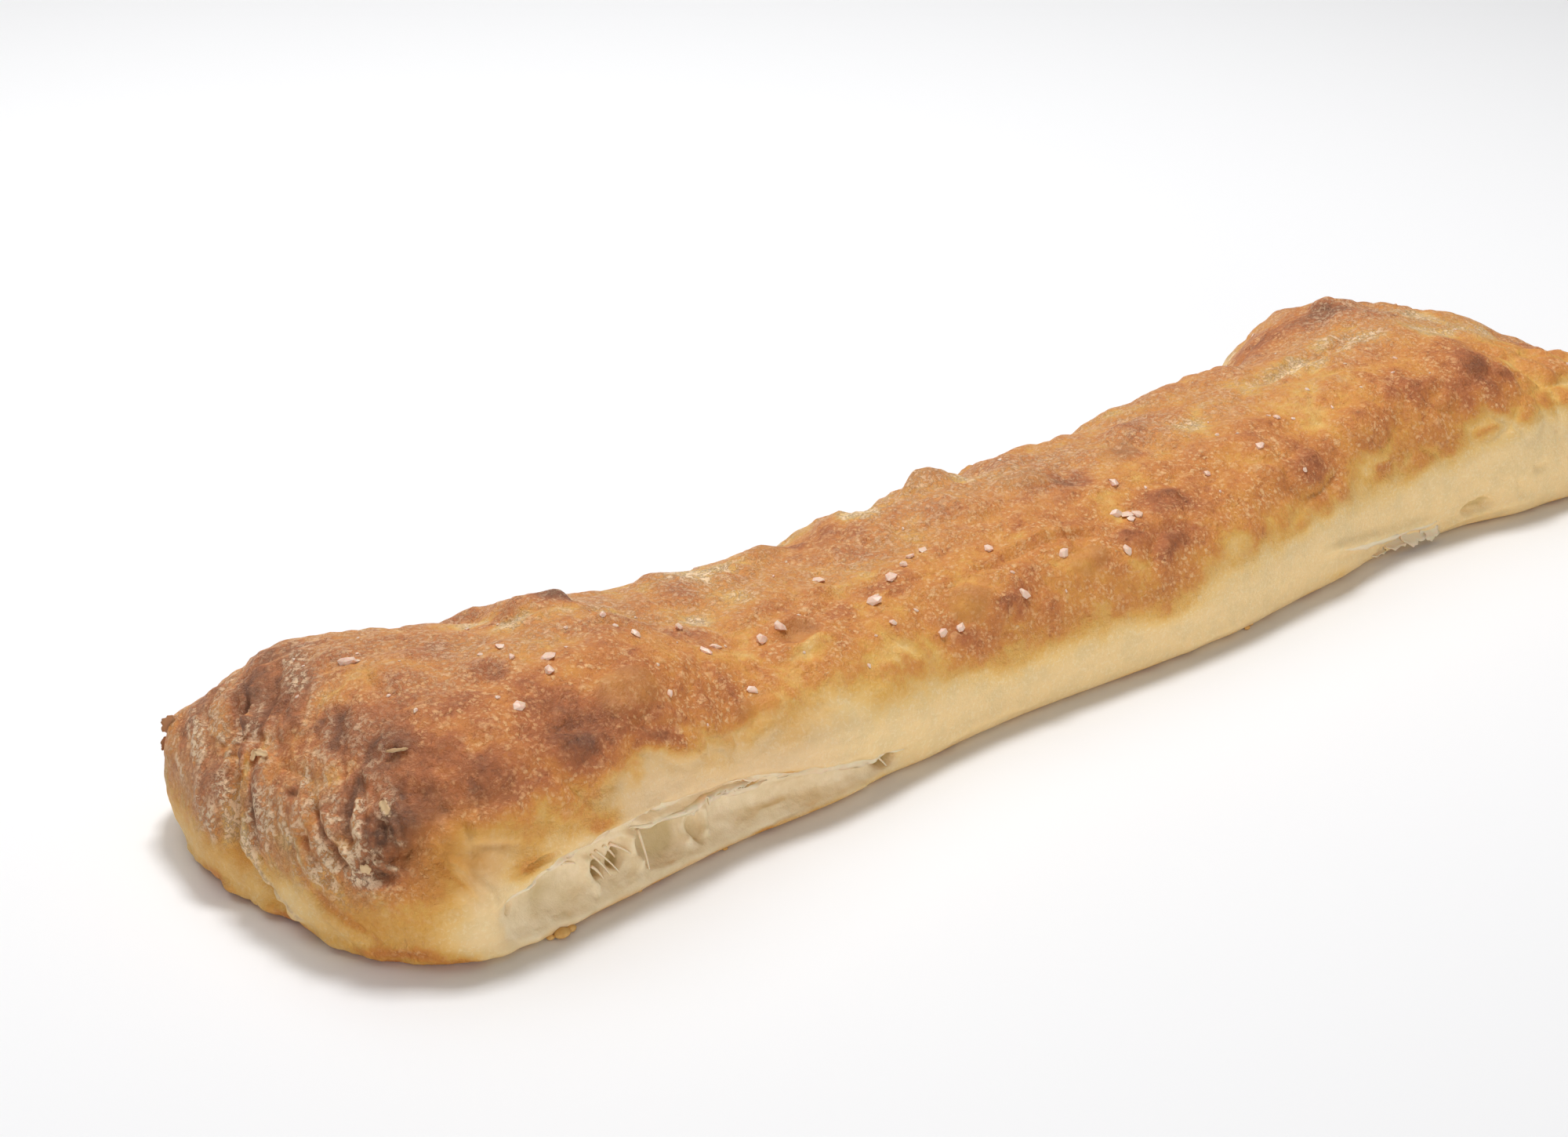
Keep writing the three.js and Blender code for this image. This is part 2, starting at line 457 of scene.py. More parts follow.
# %% Ridges and creases of the top
TOP_LINES = [  # line, width, rise: ridges where two swellings meet, and creases between them
    ([(-150, 3), (-138, -2), (-126, -2), (-116, -6), (-108, -14), (-103, -24)], 1.7, 0.9),
    ([(-121, -4), (-112, -11), (-104, -18)], 1.8, -1.2),
    ([(-140, -8), (-128, -9), (-119, -13), (-112, -22), (-107, -32)], 2.0, 0.8),
    ([(-95, -29), (-88, -31), (-80, -29)], 1.0, 0.8),
    ([(-100, -2), (-88, -6), (-76, -4), (-64, -8)], 1.2, 0.6),
    ([(-80, -12), (-70, -14), (-60, -18), (-50, -16)], 1.1, 0.6),
    ([(-30, -28), (-20, -27), (-10, -28), (2, -30)], 1.1, 0.9),
    ([(-28, -30), (-18, -30), (-8, -31), (4, -32)], 1.0, -0.8),
    ([(-38, -29), (-30, -31), (-25, -35), (-26, -39)], 1.0, -0.8),
    ([(-48, -4), (-36, -10), (-24, -14), (-12, -13)], 1.4, 0.7),
    ([(-36, -2), (-30, -8), (-24, -18)], 1.2, 0.5),
    ([(6, -16), (14, -20), (22, -18), (30, -20)], 1.1, 0.6),
    ([(88, -5), (96, -6), (108, -4), (120, -5), (134, -3)], 2.0, -1.3),
    ([(92, -9), (104, -9), (116, -10), (130, -9)], 1.1, 0.8),
    ([(155, -24), (158, -34), (160, -46)], 1.4, -1.2),
    ([(160, -22), (163, -34), (165, -47)], 1.2, 0.8),
    ([(165, -22), (168, -34), (170, -47)], 1.2, -0.9),
    ([(171, -20), (174, -34), (176, -47)], 1.2, 0.6),
    ([(178, -10), (181, -26), (183, -50)], 2.2, -0.8),
    ([(191, 8), (192, -8), (193, -24)], 3.4, -2.0),
    ([(-78, -16), (-70, -19), (-62, -24), (-54, -25)], 1.0, 0.7),
    ([(-82, -20), (-74, -23), (-66, -28), (-58, -29)], 0.9, -0.6),
    ([(-60, -12), (-52, -17), (-44, -19), (-36, -18)], 1.0, 0.6),
]

# %% [markdown]
# The large bubbles blew up under the skin while it set, so they are smooth domes that end in a
# crisp edge, and not soft hills. The small ones are hills, scattered over the browned skin.

# %% Blisters
BLISTERS = [  # place, reach, lean and rise: the large smooth bubbles, the nine glossiest first
    ((3, -8), (9, 5), -12, 1.9), ((-138, -33), (8, 4.6), 6, 1.5), ((-41, -34), (7, 4.2), 12, 1.2),
    ((-63, 8), (6, 4), 0, 1.3), ((-14, 8), (8, 4.4), 0, 0.8), ((-6, -37), (7, 3), 0, 0.9),
    ((-108, -40), (7, 3), 0, 0.9), ((-84, -25), (5.4, 3.6), 0, -1.4), ((34, -10), (6, 4), 0, 1.0),
    ((28, -31), (8, 5), 0, 0.8), ((73, -38), (8, 5), 35, 0.8), ((114, -31), (8, 8), 0, 1.0),
    ((141, -35), (8, 8), 0, 0.9), ((68, -24), (7, 4.6), 0, 0.6), ((-162, -22), (5, 3), 0, 0.8),
    ((52, -12), (8, 6), 0, 0.8), ((-52, -22), (7, 4), 0, 0.8), ((-118, -28), (8, 5), 0, 0.9),
]


def blistered(surface):
    """The height of the large smooth bubbles, which end in a crisp edge."""
    u, v, mask = surface.charts["top"]
    u = u + 0.8 * lumps(surface.points, 5, 43)
    v = v + 0.8 * lumps(surface.points, 5, 44)
    total = np.zeros(len(u))
    for place, reach, lean, rise in BLISTERS:
        from_middle = reach_from(u, v, place, reach, lean)
        total += rise * (np.sqrt(np.clip(1.04 - from_middle ** 2, 0.04, 1)) - 0.2)
    return total * mask


def scattered_blisters(surface, count, seed):
    """Small round blisters on the browned skin, between 1 and 2.5 mm across the reach."""
    chance = np.random.default_rng(seed)
    browned = np.flatnonzero((surface.faces[:, 2] > 0.1) & (surface.points[:, 2] > 22))
    total = np.zeros(len(surface.points))
    for spot in chance.choice(browned, count):
        reach = chance.uniform(0.9, 2.3)
        rise = reach * chance.uniform(0.12, 0.26)
        away = surface.points - surface.points[spot]
        close = np.flatnonzero((np.abs(away) < 3 * reach).all(axis=1))
        total[close] += rise * hill(np.linalg.norm(away[close], axis=1) / reach)
    return total


# %% [markdown]
# All over the top the dough rose in cells that press against one another, as bubbles in foam do.
# Each swells by its own amount, and where two meet there is a sharp crease.

# %% Swelling cells
def domes(surface, size, seed, slant=(1, 1, 1)):
    """Swellings that meet in sharp creases: 0 in the creases, up to 1, each of its own height."""
    shift = np.stack([lumps(surface.points, 1.3 * size, seed + k) for k in range(3)], 1)
    spots = (surface.points * slant + 0.45 * size * shift) / size
    edges = np.ones(len(spots))
    middles = np.zeros((len(spots), 3))
    for i in np.flatnonzero(surface.points[:, 2] > 14):
        distances, cells = noise.voronoi(spots[i])
        edges[i] = distances[1] - distances[0]
        middles[i] = cells[0]
    own = 0.5 + 0.5 * np.sin(middles @ (12.9, 78.2, 37.7))
    return (1 - np.square(1 - np.clip(edges / 0.7, 0, 1))) * (0.25 + 0.75 * own)


# %% [markdown]
# The outline of the loaf is as uneven as its top. The back edge of the top dips where fingers
# pressed it, and a few places of the outline fall in or stand out.

# %% The back edge
BACK_RIDGE = [  # x and rise: how the back edge of the top rises and falls along the loaf
    (-206, 0), (-160, 0), (-150, -1.2), (-140, -2.6), (-134, -0.4), (-120, 0), (-62, 0), (-55, -1.8),
    (-50, -2.0), (-44, 0), (-38, 0.4), (-33, -1.6), (-22, -2.8), (-15, -0.2), (-5, -0.6), (0, -1.6),
    (5, -2.6), (12, -0.2), (24, -1.2), (32, -1.2), (40, -1.6), (50, -2.0), (56, 0), (66, -1.0),
    (80, -0.8), (92, -0.8), (100, -3.6), (112, -3.6), (126, -2.6), (150, -2.2), (170, -1.2), (185, 0),
    (206, 0),
]
OUTLINE_FORMS = [  # place, reach, rise: where the back edge of the loaf falls in or stands out
    ((130, 33, 30), 8, -2.6), ((193, -20, 29), 8, -3.0), ((147, 15, 43), 8, 1.2),
    ((-157, 28, 39), 6, -2.0), ((-139, 19, 40), 5, -2.2), ((-131, 7, 45), 4, -1.4),
    ((-4, 13, 35), 6, -0.6), ((-184, 45, 29), 6, -2.6), ((178, -6, 34), 7, 1.4),
    ((35, 15, 33), 7, 1.0),
]

# %% [markdown]
# The folded end is wrinkled like cloth. Its skin was gathered towards one knot, which burnt, so
# rolls and curds of floury dough curve round that knot, with creases between them.

# %% Wrinkles of the folded end
END_LINES = [  # wrinkles, creases and rolls of the folded end
    ([(-5, 35), (-5.4, 31), (-5.8, 27), (-5, 24)], 0.8, -1.1),
    ([(-8.8, 36), (-8, 33), (-6.5, 31.5)], 0.7, -0.6),
    ([(-13.5, 29), (-11.5, 26), (-9, 23.4), (-7, 21.4), (-5.2, 19.2)], 0.8, -1.2),
    ([(-20, 27), (-18.5, 28), (-16.5, 28.6)], 0.7, -0.6),
    ([(-15, 24), (-13.6, 21), (-11, 18.6)], 0.7, -0.6),
    ([(-18, 22), (-16, 17), (-13, 14)], 0.7, -0.5),
    ([(-4, 32), (-3.6, 28), (-3.4, 25.6)], 0.9, 1.1),
    ([(-11.6, 31), (-9.6, 27), (-7.4, 24), (-5.4, 22)], 0.9, 0.9),
    ([(-15.4, 29), (-13, 24), (-10, 20.4), (-6.6, 17.4)], 0.9, 0.8),
    ([(-17.4, 25), (-15, 20), (-11.4, 16.4), (-7, 14.4)], 0.9, 0.7),
    ([(0, 22.6), (3, 22), (6.4, 21)], 0.5, 0.6),
    ([(8, 26.6), (11, 26.6), (13.5, 25.4)], 0.5, 0.5),
    ([(13, 25), (17, 21), (21.5, 16), (22.5, 11)], 1.0, 1.0),
    ([(11, 24.6), (14.6, 20.6), (18.4, 17), (20, 13)], 0.8, -0.5),
    ([(-15, 14), (-9, 11.4), (-4, 8), (1, 4.4)], 0.9, -0.5),
    ([(-18, 12), (-12, 9.4), (-6, 6), (-1, 3)], 1.1, 0.6),
    ([(-33, 37), (-33.4, 34), (-34, 31)], 1.0, 0.6),
    ([(-36, 33), (-37.5, 29), (-38, 26)], 0.9, 0.5),
]
END_FORMS = [  # pinches and lumps of the folded end
    ((-27, 31), (2.4, 1.0), 10, 0.7), ((1.8, 31.8), (2.0, 1.6), 60, 1.3), ((2.0, 28.4), 1.4, 0, -1.4),
    ((1.0, 24.2), (1.6, 1.2), 0, -1.2), ((-1.8, 21.2), (1.9, 1.2), 0, 1.2),
    ((0.5, 20.2), (2.4, 0.9), -15, -0.9), ((4.2, 27.2), (1.6, 0.8), -40, 0.7),
    ((-40, 21), (5, 4), 60, 0.8), ((-32, 19), (2, 6), 0, -0.8), ((-8, 10), (5, 3), -35, 0.6),
    ((4.5, 24.5), (1.6, 1.0), 30, -0.7), ((-22, 36), (4, 3), 0, 0.5), ((-10, 38), (3, 2.4), 0, -0.5),
    ((1, 28), (5, 8), 8, 1.0), ((-14, 22), (5, 8), 10, 0.8), ((-24, 26), (3, 6), 0, 0.5),
]


def end_swirl(surface):
    """The floury skin of the folded end: rolls and lumps that curve round the burnt knot."""
    u, v, mask = surface.charts["end"]
    bent = 1.4 * lumps(surface.points, 5, 51) + 0.5 * lumps(surface.points, 2.2, 52)
    around = np.hypot(u - 3, (v - 28) * 0.8) + bent
    turned = np.arctan2(v - 28, u - 3)
    rolled = np.stack([around, turned * 7, surface.points[:, 2] * 0.12], 1)
    curds = rough(rolled, 1.6, 53, 3)
    left = ease(-50, -44, u) * ease(5, -3, u)
    rolls = np.sin(around * (2 * math.pi / 3.1)) * left
    rolls *= ease(-32, -27, u) * ease(9, 16, v) * ease(41, 37, v)
    spiral = np.sin((np.hypot(u - 1.5, (v - 26.5) * 0.75) + 0.5 * bent) * (2 * math.pi / 2.3) + turned)
    spiral *= hill(reach_from(u, v, (1.5, 26), (5, 7.5)))
    return curds, (0.08 * rolls + 0.45 * spiral) * mask


# %% [markdown]
# The forms are added up to one number for each point, its relief, and the loaf is pushed by it
# only once, because a push bends the charts that the next form would be read from. First come
# the forms of the folded end and of the tear, then those of the browned top.

# %% Relief of the folded end and the tear
surface = Surface(loaf)
x, y, z = surface.points.T
u_end, _, end_mask = surface.charts["end"]
dusted = ease(-60, -52, u_end) * ease(8, -2, u_end) * ease(9, 16, z) * ease(43, 38, z) * end_mask
curds, rolls = end_swirl(surface)
wrinkles = rolls + chart_relief(surface, "end", [], END_LINES, 0.3)
opened = cells_and_folds(surface)
in_tear = ease(0.5, 1.6, tear_in(surface) + 0.4 * lumps(surface.points, 3, 82))
relief = wrinkles + chart_relief(surface, "end", END_FORMS, [], 0.3)
relief += 0.38 * ease(-0.45, 0.45, curds) * dusted
relief += opened + 0.16 * rough(surface.points * (1, 1, 0.2), 1.5, 83, 2) * in_tear
print(f"relief of the folded end and the tear: {relief.min():.1f} to {relief.max():.1f} mm")

# %% Relief of the browned top
browned = ease(18, 26, z)
far_half = ease(-34, -18, y)
swellings = domes(surface, 12.0, 67, (0.6, 1, 1)) * far_half + domes(surface, 12.0, 62) * (1 - far_half)
small_swellings = domes(surface, 4.6, 68, (0.8, 1, 1))
relief += (1.7 * (swellings - 0.45) + 0.35 * (small_swellings - 0.45)) * browned
relief += chart_relief(surface, "top", TOP_FORMS, TOP_LINES, 1.5) + 0.8 * blistered(surface)
relief += scattered_blisters(surface, 420, 61) * browned
relief += (0.6 * lumps(surface.points, 9, 63) + 0.16 * lumps(surface.points, 2.2, 64)) * browned
ridge_x, ridge_rise = np.array(BACK_RIDGE).T
back_band = ease(-4, 8, y) * ease(38, 26, y) * surface.charts["top"][2]
relief += np.interp(x, ridge_x, ridge_rise) * back_band
for place, reach, rise in OUTLINE_FORMS:
    relief += rise * hill(np.linalg.norm(surface.points - place, axis=1) / reach)
print(f"with the browned top: {relief.min():.1f} to {relief.max():.1f} mm")

# %% [markdown]
# All dough is a little uneven, and its far flank a little more. The very bottom rests flat on the
# stone, so the relief fades out there. At the foot of the near end the wet dough crept outwards
# in a ragged skirt, and those points are pushed out level, not along the way they face.

# %% Unevenness and the ragged skirt
relief += 0.22 * rough(surface.points, 7, 66)
relief += 0.16 * rough(surface.points * (0.3, 1, 1.4), 2.6, 69, 2) * (1 - browned)
relief += 0.9 * rough(surface.points, 26, 85, 2) * ease(10, 30, y) * (1 - browned)
surface.push(relief * ease(0.2, 2.5, z))
x, y, z = surface.points.T
skirt = ease(4.6, 2.2, z) * ease(0.05, 0.6, z) * ease(-150, -176, x) * (1 - 0.5 * ease(10, 25, u_end))
skirt *= 0.9 + 1.5 * rough(surface.points * (1, 1, 0.4), 4.0, 70, 2)
skirt = np.clip(skirt, -0.6, 2.4)
surface.points[:, :2] += surface.faces[:, :2] * skirt[:, None]
surface.put_back(loaf)
print(f"the skirt stands out by {skirt.max():.1f} mm")

# %% [markdown]
# ## Browning
#
# How brown the crust is depends on where it stood out into the heat, so the browning belongs to
# places and not to a pattern. It is worked out at every point and stored in the mesh as named
# attributes, which the crust's finish then reads. First comes the height at which the browning of
# each flank starts, which on the near flank follows heights that were measured on the real loaf.

# %% Where the browning starts
BROWN_LINE = [  # x and z: where the browning of the near flank starts, in mm
    (-206, 26), (-180, 29), (-165, 27), (-150, 28), (-140, 28), (-130, 26), (-120, 24), (-105, 24),
    (-90, 25), (-80, 23), (-70, 21), (-60, 20), (-50, 18), (-35, 16), (-20, 17), (-10, 18), (0, 17),
    (10, 16.5), (20, 18), (30, 21), (50, 22), (80, 23), (100, 21), (115, 22), (125, 23), (135, 26),
    (150, 27), (165, 25), (185, 24), (206, 22),
]
FAR_LINE = [  # the same on the far flank
    (-206, 20), (-150, 28), (-120, 33), (-60, 28), (0, 25), (90, 27), (130, 24), (206, 22),
]

# %% [markdown]
# Thin skin over a bubble browned more, and dimples and thick folds browned less. Each patch is an
# oval on one of the charts. Some were put down one by one. The places of the others, roughly half to
# two thirds of them, came from a scratch program that compared earlier versions of this loaf with
# the real one and listed where the crust was too light or too dark. Their reach and strength were
# set one by one.

# %% Patches on the top
TOP_BAKES = [  # place, reach, lean, and by how much more or less the crust browned there
    ((-190, 19), 4, 0, 0.1), ((-187, 37), (5, 4), 0, 0.08), ((-185, 14.5), (4.3, 4), 0, 0.44),
    ((-181, 5), (6, 4), 0, -0.16), ((-181, 20), (5, 4), 0, 0.16), ((-180, -27), (5, 4), 0, 0.28),
    ((-178, 1), (7, 4), 0, -0.14), ((-177, -41), (5, 3), 0, 0.1), ((-175, -12), (8, 6), 0, 0.1),
    ((-173, -41), (5, 2.4), 0, 0.1), ((-172, -38), (8, 6), 0, 0.24), ((-172, 27), (5, 3), 0, 0.12),
    ((-171, 26), (5, 4), 0, 0.1), ((-167, -34), (5, 3), 0, 0.12), ((-162, -20), (5, 3), 0, -0.02),
    ((-161, -34), (5, 4), 0, 0.26), ((-161, 3), (5, 4), 0, 0.14), ((-161, 3), (4, 3), 0, 0.08),
    ((-160, -42), (6, 4), 0, 0.1), ((-158, -14), (5, 2), 0, 0.2), ((-158, -12), (4, 2), 0, 0.1),
    ((-158, -11), (4, 2.4), 0, 0.12), ((-157, -25), (4, 3), 0, 0.16), ((-157, -20), (4, 3), 0, 0.12),
    ((-157, -16), (3.6, 1.8), 25, 0.26), ((-156, -30), (4, 3), 0, 0.14),
    ((-154, -36), (4.5, 6), -20, 0.3), ((-153, -27), 4, 0, 0.2), ((-148, -37), (5, 3), 0, 0.12),
    ((-147, -29), (5, 3), 0, 0.14), ((-146, -34), (5, 3), 0, 0.26), ((-142.5, 11), (5, 3), 0, -0.3),
    ((-141, -34), (8, 4), 0, -0.02), ((-141, 1), (5, 3), 0, -0.3), ((-141, 4), (5, 3), 0, -0.14),
    ((-141, 6), (5, 3), 0, 0.22), ((-140, -42), (5, 2), 0, 0.12), ((-139, -43), (5, 2.4), 0, 0.14),
    ((-138, -41), (9, 3), 0, 0.12), ((-133, -41), (5, 3), 0, 0.2), ((-130, -6), (10, 3), -8, -0.12),
    ((-127, 0), (4, 3), 0, 0.12), ((-127, 1), (4, 3), 0, 0.22), ((-127, 2), (5, 3), 0, 0.18),
    ((-126, 6), 3.5, 0, 0.24), ((-118, -38), (8, 5), 0, 0.12), ((-113, -14), (5, 3), 0, 0.1),
    ((-108, -15), (8, 2.5), -30, 0.22), ((-106, -20), 2.5, 0, 0.2), ((-105, -39), (7, 3), 0, -0.14),
    ((-104, 0), (8, 5), 0, -0.1), ((-102, -12), (6, 3), 0, -0.12), ((-99, -20), (7, 4), 0, -0.08),
    ((-98, -25), (7, 4), 0, -0.12), ((-93, -40), (5, 3), 0, 0.16), ((-90, -33), (6, 2.6), 0, -0.16),
    ((-89, -27), (2, 4), 20, 0.2), ((-86, -31), (6, 1.6), -6, -0.12), ((-86, 8), (18, 4), 0, -0.2),
    ((-85, -32), (6, 3), 0, -0.08), ((-84, -25), (5, 3.6), 0, 0.04), ((-82, -39), (7, 3), 0, -0.08),
    ((-80, -9), (8, 5), 0, -0.1), ((-73, -41), (5, 2), 0, 0.14), ((-72, -24), (3.4, 2.4), 0, 0.14),
    ((-66, -30), (5, 3), 0, -0.06), ((-65, -33), (6, 3), 0, -0.12), ((-64, -20), (6, 3), 0, 0.12),
    ((-64, 6), (5, 3), 0, 0.04), ((-62, -38), (6, 3), 0, -0.08), ((-60, -38), (8, 3), 0, -0.1),
    ((-56, -22), (6, 3), 0, 0.12), ((-56, 9), (4, 3), 0, 0.18), ((-54, -24), (6, 4), 0, 0.12),
    ((-54, 9), (5, 3), 0, 0.14), ((-54, 10), (5, 3), 0, 0.3), ((-50, -8), (5, 3), 0, 0.12),
    ((-49, -6), (5, 3), 0, 0.12), ((-46, -40), (7, 3), 0, 0.18), ((-44, 3), (5, 4), 0, 0.16),
    ((-42, -38), (5, 2.4), 0, -0.06), ((-39, -33), (7, 4), 10, -0.06), ((-38, 3), (5, 3), 0, -0.1),
    ((-37, 5), (6, 3), 0, -0.16), ((-36, 8), (8, 3), 0, -0.2), ((-35, 5), (6, 3), 0, -0.16),
    ((-29, -38), (7, 4), 20, 0.26), ((-28, -35), (6, 3), 0, -0.12), ((-28, -2), (6, 3), 0, 0.1),
    ((-17, -8), (6, 4), 0, -0.1), ((-15, -29), (6, 3), 0, -0.08), ((-14, -22), (4, 2), 0, 0.2),
    ((-8, -30.5), (10, 1.4), -6, 0.14), ((-7, 2), (6, 3), 0, -0.1), ((-6, -36), (7, 3), 0, -0.06),
    ((-6, 2), (8, 4), 0, -0.1), ((-5, -31), (7, 2.4), 0, -0.18), ((-5, -13), (6, 3), 0, 0.1),
    ((2, -14), (7, 2), 0, 0.18), ((4, -9), (7, 4), 0, 0.08), ((6, -17), (5, 3), 0, 0.12),
    ((8, -20), (5, 3), 0, 0.1), ((9, -37), (5, 3), 0, 0.18), ((13, -30), (3, 2), 0, -0.14),
    ((14, -14), (5, 2), 0, 0.14), ((16, -12), (6, 3.6), 0, 0.2), ((16, -12), (5, 2.4), 0, 0.1),
    ((16, -11), (5, 3), 0, 0.1), ((18, -40), (9, 3), 0, 0.24), ((18, -24), (6, 3), 0, -0.06),
    ((20, -21), (5, 2), 0, 0.16), ((24, -41), (6, 3), 0, 0.14), ((24, -33), (6, 3), 0, 0.1),
    ((24, -28), (7, 4), 0, 0.2), ((28, -31), (9, 5), 0, 0.2), ((34, -13), (5, 2), 0, 0.12),
    ((35, -11), (5, 4), 0, 0.22), ((43, -2), 5, 0, 0.2), ((50, -36), (6, 4), 0, 0.06),
    ((58, -12), (12, 6), 0, -0.06), ((65, 7), (8, 4), 0, -0.1), ((68, -24), (8, 4), 0, 0.14),
    ((72, -5), (8, 4), 0, -0.12), ((73, -38), (9, 5), 35, 0.2), ((84, -38), (4, 3), 0, 0.1),
    ((85, -7), (7, 3), 0, -0.12), ((86, -1), (7, 4), 0, -0.16), ((94, -30), (8, 9), 0, -0.1),
    ((96, -41), (7, 3), 0, -0.14), ((96, -40), (8, 3), 0, -0.08), ((100, -21), (8, 5), 0, -0.14),
    ((100, -6), (14, 3.6), 0, -0.12), ((104, -3), (7, 4), 0, -0.06), ((107, -3), (8, 3), 0, -0.08),
    ((108, -32), (6, 4), 0, 0.18), ((108, 20), (10, 6), 0, 0.12), ((111, -6), (8, 4), 0, -0.08),
    ((112, -45), (5, 3), 0, 0.1), ((115, -31), (6.5, 7), 0, 0.2), ((115, -25), (6, 4), 0, 0.12),
    ((118, 18), (14, 6), 0, 0.1), ((120, -38), (6, 3), 0, -0.08), ((124.5, 19.5), (6, 4), 0, 0.28),
    ((126, -8), (16, 3), 0, -0.2), ((127, -11), (8, 4), 0, -0.14), ((127, -2), (8, 4), 0, -0.14),
    ((128, -43), (7, 3), 0, -0.12), ((128, -26), (4, 6), 0, -0.06), ((132, 12), (8, 4), 0, 0.16),
    ((136, -39), (7, 5), 0, 0.18), ((137, 10), (6, 4), 0, 0.2), ((139, 9.5), (5.7, 4), 0, 0.32),
    ((141, -36), (7, 8), 0, 0.22), ((152, -15), (9, 5), 0, -0.16), ((156, -12), (12, 6), 0, -0.06),
    ((162, -2), (9, 7), 0, -0.14), ((163, 3), (7, 5), 0, -0.12), ((166, -38), (10, 7), 0, -0.08),
    ((166, -20), 8, 0, -0.1), ((167, -5), (7, 5), 0, -0.1), ((173, -15), (8, 6), 0, -0.14),
    ((174, -30), (10, 9), 0, -0.02), ((188, -22), (8, 14), 0, 0.14),
]

# %% Patches on the near flank, some of them painted shade, and on the folded end
FLANK_BAKES_AND_SHADE = [  # the same on the near flank
    ((-177, 18.5), (5, 2.5), 0, 0.24), ((-176, 11), (2.2, 1.8), 0, 0.1),
    ((-174, 22), (10, 6), 0, 0.14), ((-173, 24), (5, 3), 0, 0.1), ((-158, 22.5), (6, 3), 0, 0.22),
    ((-157, 26), (6, 2), 0, 0.12), ((-154, 20.5), (5, 2), 0, 0.24), ((-138, 1.2), (12, 0.6), 3, 0.12),
    # the thin dark lines along the crease under the lip, from x -118 to -105 and 12 to 15 mm up, are
    # painted shade
    ((-118, 15), (7, 0.9), -10, 0.3), ((-115, 12), (7, 0.9), -8, 0.42),
    ((-112, 12.6), (5, 0.8), 0, 0.24), ((-108, 1.4), (14, 0.8), 2, 0.22),
    ((-105, 12.4), (6, 0.8), -8, 0.3), ((-37, 21), (5, 2), 0, 0.12), ((8, 24), (8, 3), 0, -0.14),
    ((14, 14.5), (14, 2.4), 0, 0.12), ((77, 3), (5, 1.4), -10, 0.14), ((110, 25), (10, 3), 0, -0.08),
    ((126, 3.0), (8, 0.6), 5, 0.12), ((140, 28), (8, 3), 0, -0.08),
]
END_BAKES = [  # the same on the folded end
    ((-46, 24), (2, 2.4), 0, 0.08), ((-45, 28), (2, 2.4), 0, 0.18), ((-40, 21), (2.2, 3.4), 10, 0.26),
    ((-38, 16), (3, 2), -30, 0.16), ((-37, 3), (4, 2), 0, 0.16), ((-36, 22), (2, 4), 0, 0.22),
    ((-36, 25.5), (2, 1.6), 0, -0.1), ((-35, 21), (2.4, 3), 0, 0.14), ((-34, 34), (2.0, 4), 0, 0.16),
    ((-33, 18), (2.0, 5), 0, -0.16), ((-33, 33), (2, 3.5), 0, 0.3), ((-31, 30), (1.4, 4), 0, 0.22),
    ((-31, 30), (2, 3), 0, 0.26), ((-30, 35.5), (2, 2.6), 0, 0.34), ((-29, 35), (2.4, 3), 0, 0.1),
    ((-26, 30.5), (3, 1.6), 0, -0.1), ((-25, 23), (2, 2.4), 0, 0.12), ((-24, 35), 3.4, 0, 0.24),
    ((-23, 40), (4, 2.4), 0, 0.14), ((-22, 38), (3, 2), 0, 0.18), ((-20, 1.5), (5, 1.6), 0, 0.16),
    ((-20, 35), (2.6, 2.2), 0, -0.22), ((-19, 2), (5, 1.6), 0, 0.1), ((-18, 9), (5, 4), 0, -0.14),
    ((-18, 20), 3, 0, -0.16), ((-12, 36), (2.6, 2), 0, 0.1), ((-11, 38), (2.6, 2.2), 30, 0.4),
    ((-9, 11), (7, 1.6), -38, 0.1), ((-9, 38.5), (4, 2.6), 0, 0.26), ((-6, 25), (2.0, 1.8), 0, -0.22),
    ((-4, 29), (1.0, 3.6), 4, -0.24), ((-4, 33), (1.4, 2.4), 0, 0.26), ((-4, 36), (4, 1.6), 0, 0.22),
    ((-2, 19), (3.4, 2), 0, 0.28), ((-2, 19), (2.6, 1.8), 0, 0.3), ((0, 38.6), (6.5, 2.2), 0, 0.32),
    ((0.5, 28), (5.2, 6.6), 8, 0.48), ((1, 20.5), (4.5, 2.6), -15, 0.3),
    ((1.8, 32), (1.7, 1.4), 60, -0.3), ((2, 31), (1.4, 3), 0, 0.12), ((2, 39), (7, 2.6), 0, 0.24),
    ((3, 34), (3, 2.4), 0, 0.34), ((4, 3), (9, 1.6), 0, 0.24), ((6, 5), (4, 2), 0, 0.1),
    ((6, 27), (2.6, 5), 10, 0.24), ((8, 24), (4, 5), 0, 0.08), ((9, 31), 4, 0, 0.22),
    ((11, 32), (4, 2.6), 0, 0.34), ((16, 24), (7, 6), 0, -0.14), ((17, 2), (5, 1.4), 0, 0.18),
    ((17, 13), (3, 2.6), 0, 0.1), ((18, 10), (3, 2.4), 0, 0.08), ((20, 33), (4, 3), -10, 0.34),
    ((22, 12), (7, 8), 0, -0.3), ((25, 15), (4, 3), 0, 0.12), ((30, 18), (4, 2.6), 0, 0.12),
]


def chart_bakes(surface, chart, bakes, bend):
    """How much the patches of one chart darken or spare the crust."""
    u, v, mask = surface.charts[chart]
    u = u + bend * lumps(surface.points, 5, 71) + 0.4 * bend * lumps(surface.points, 2, 72)
    v = v + bend * lumps(surface.points, 5, 73) + 0.4 * bend * lumps(surface.points, 2, 74)
    return mask * sum(change * hill(reach_from(u, v, place, reach, lean))
                      for place, reach, lean, change in bakes)
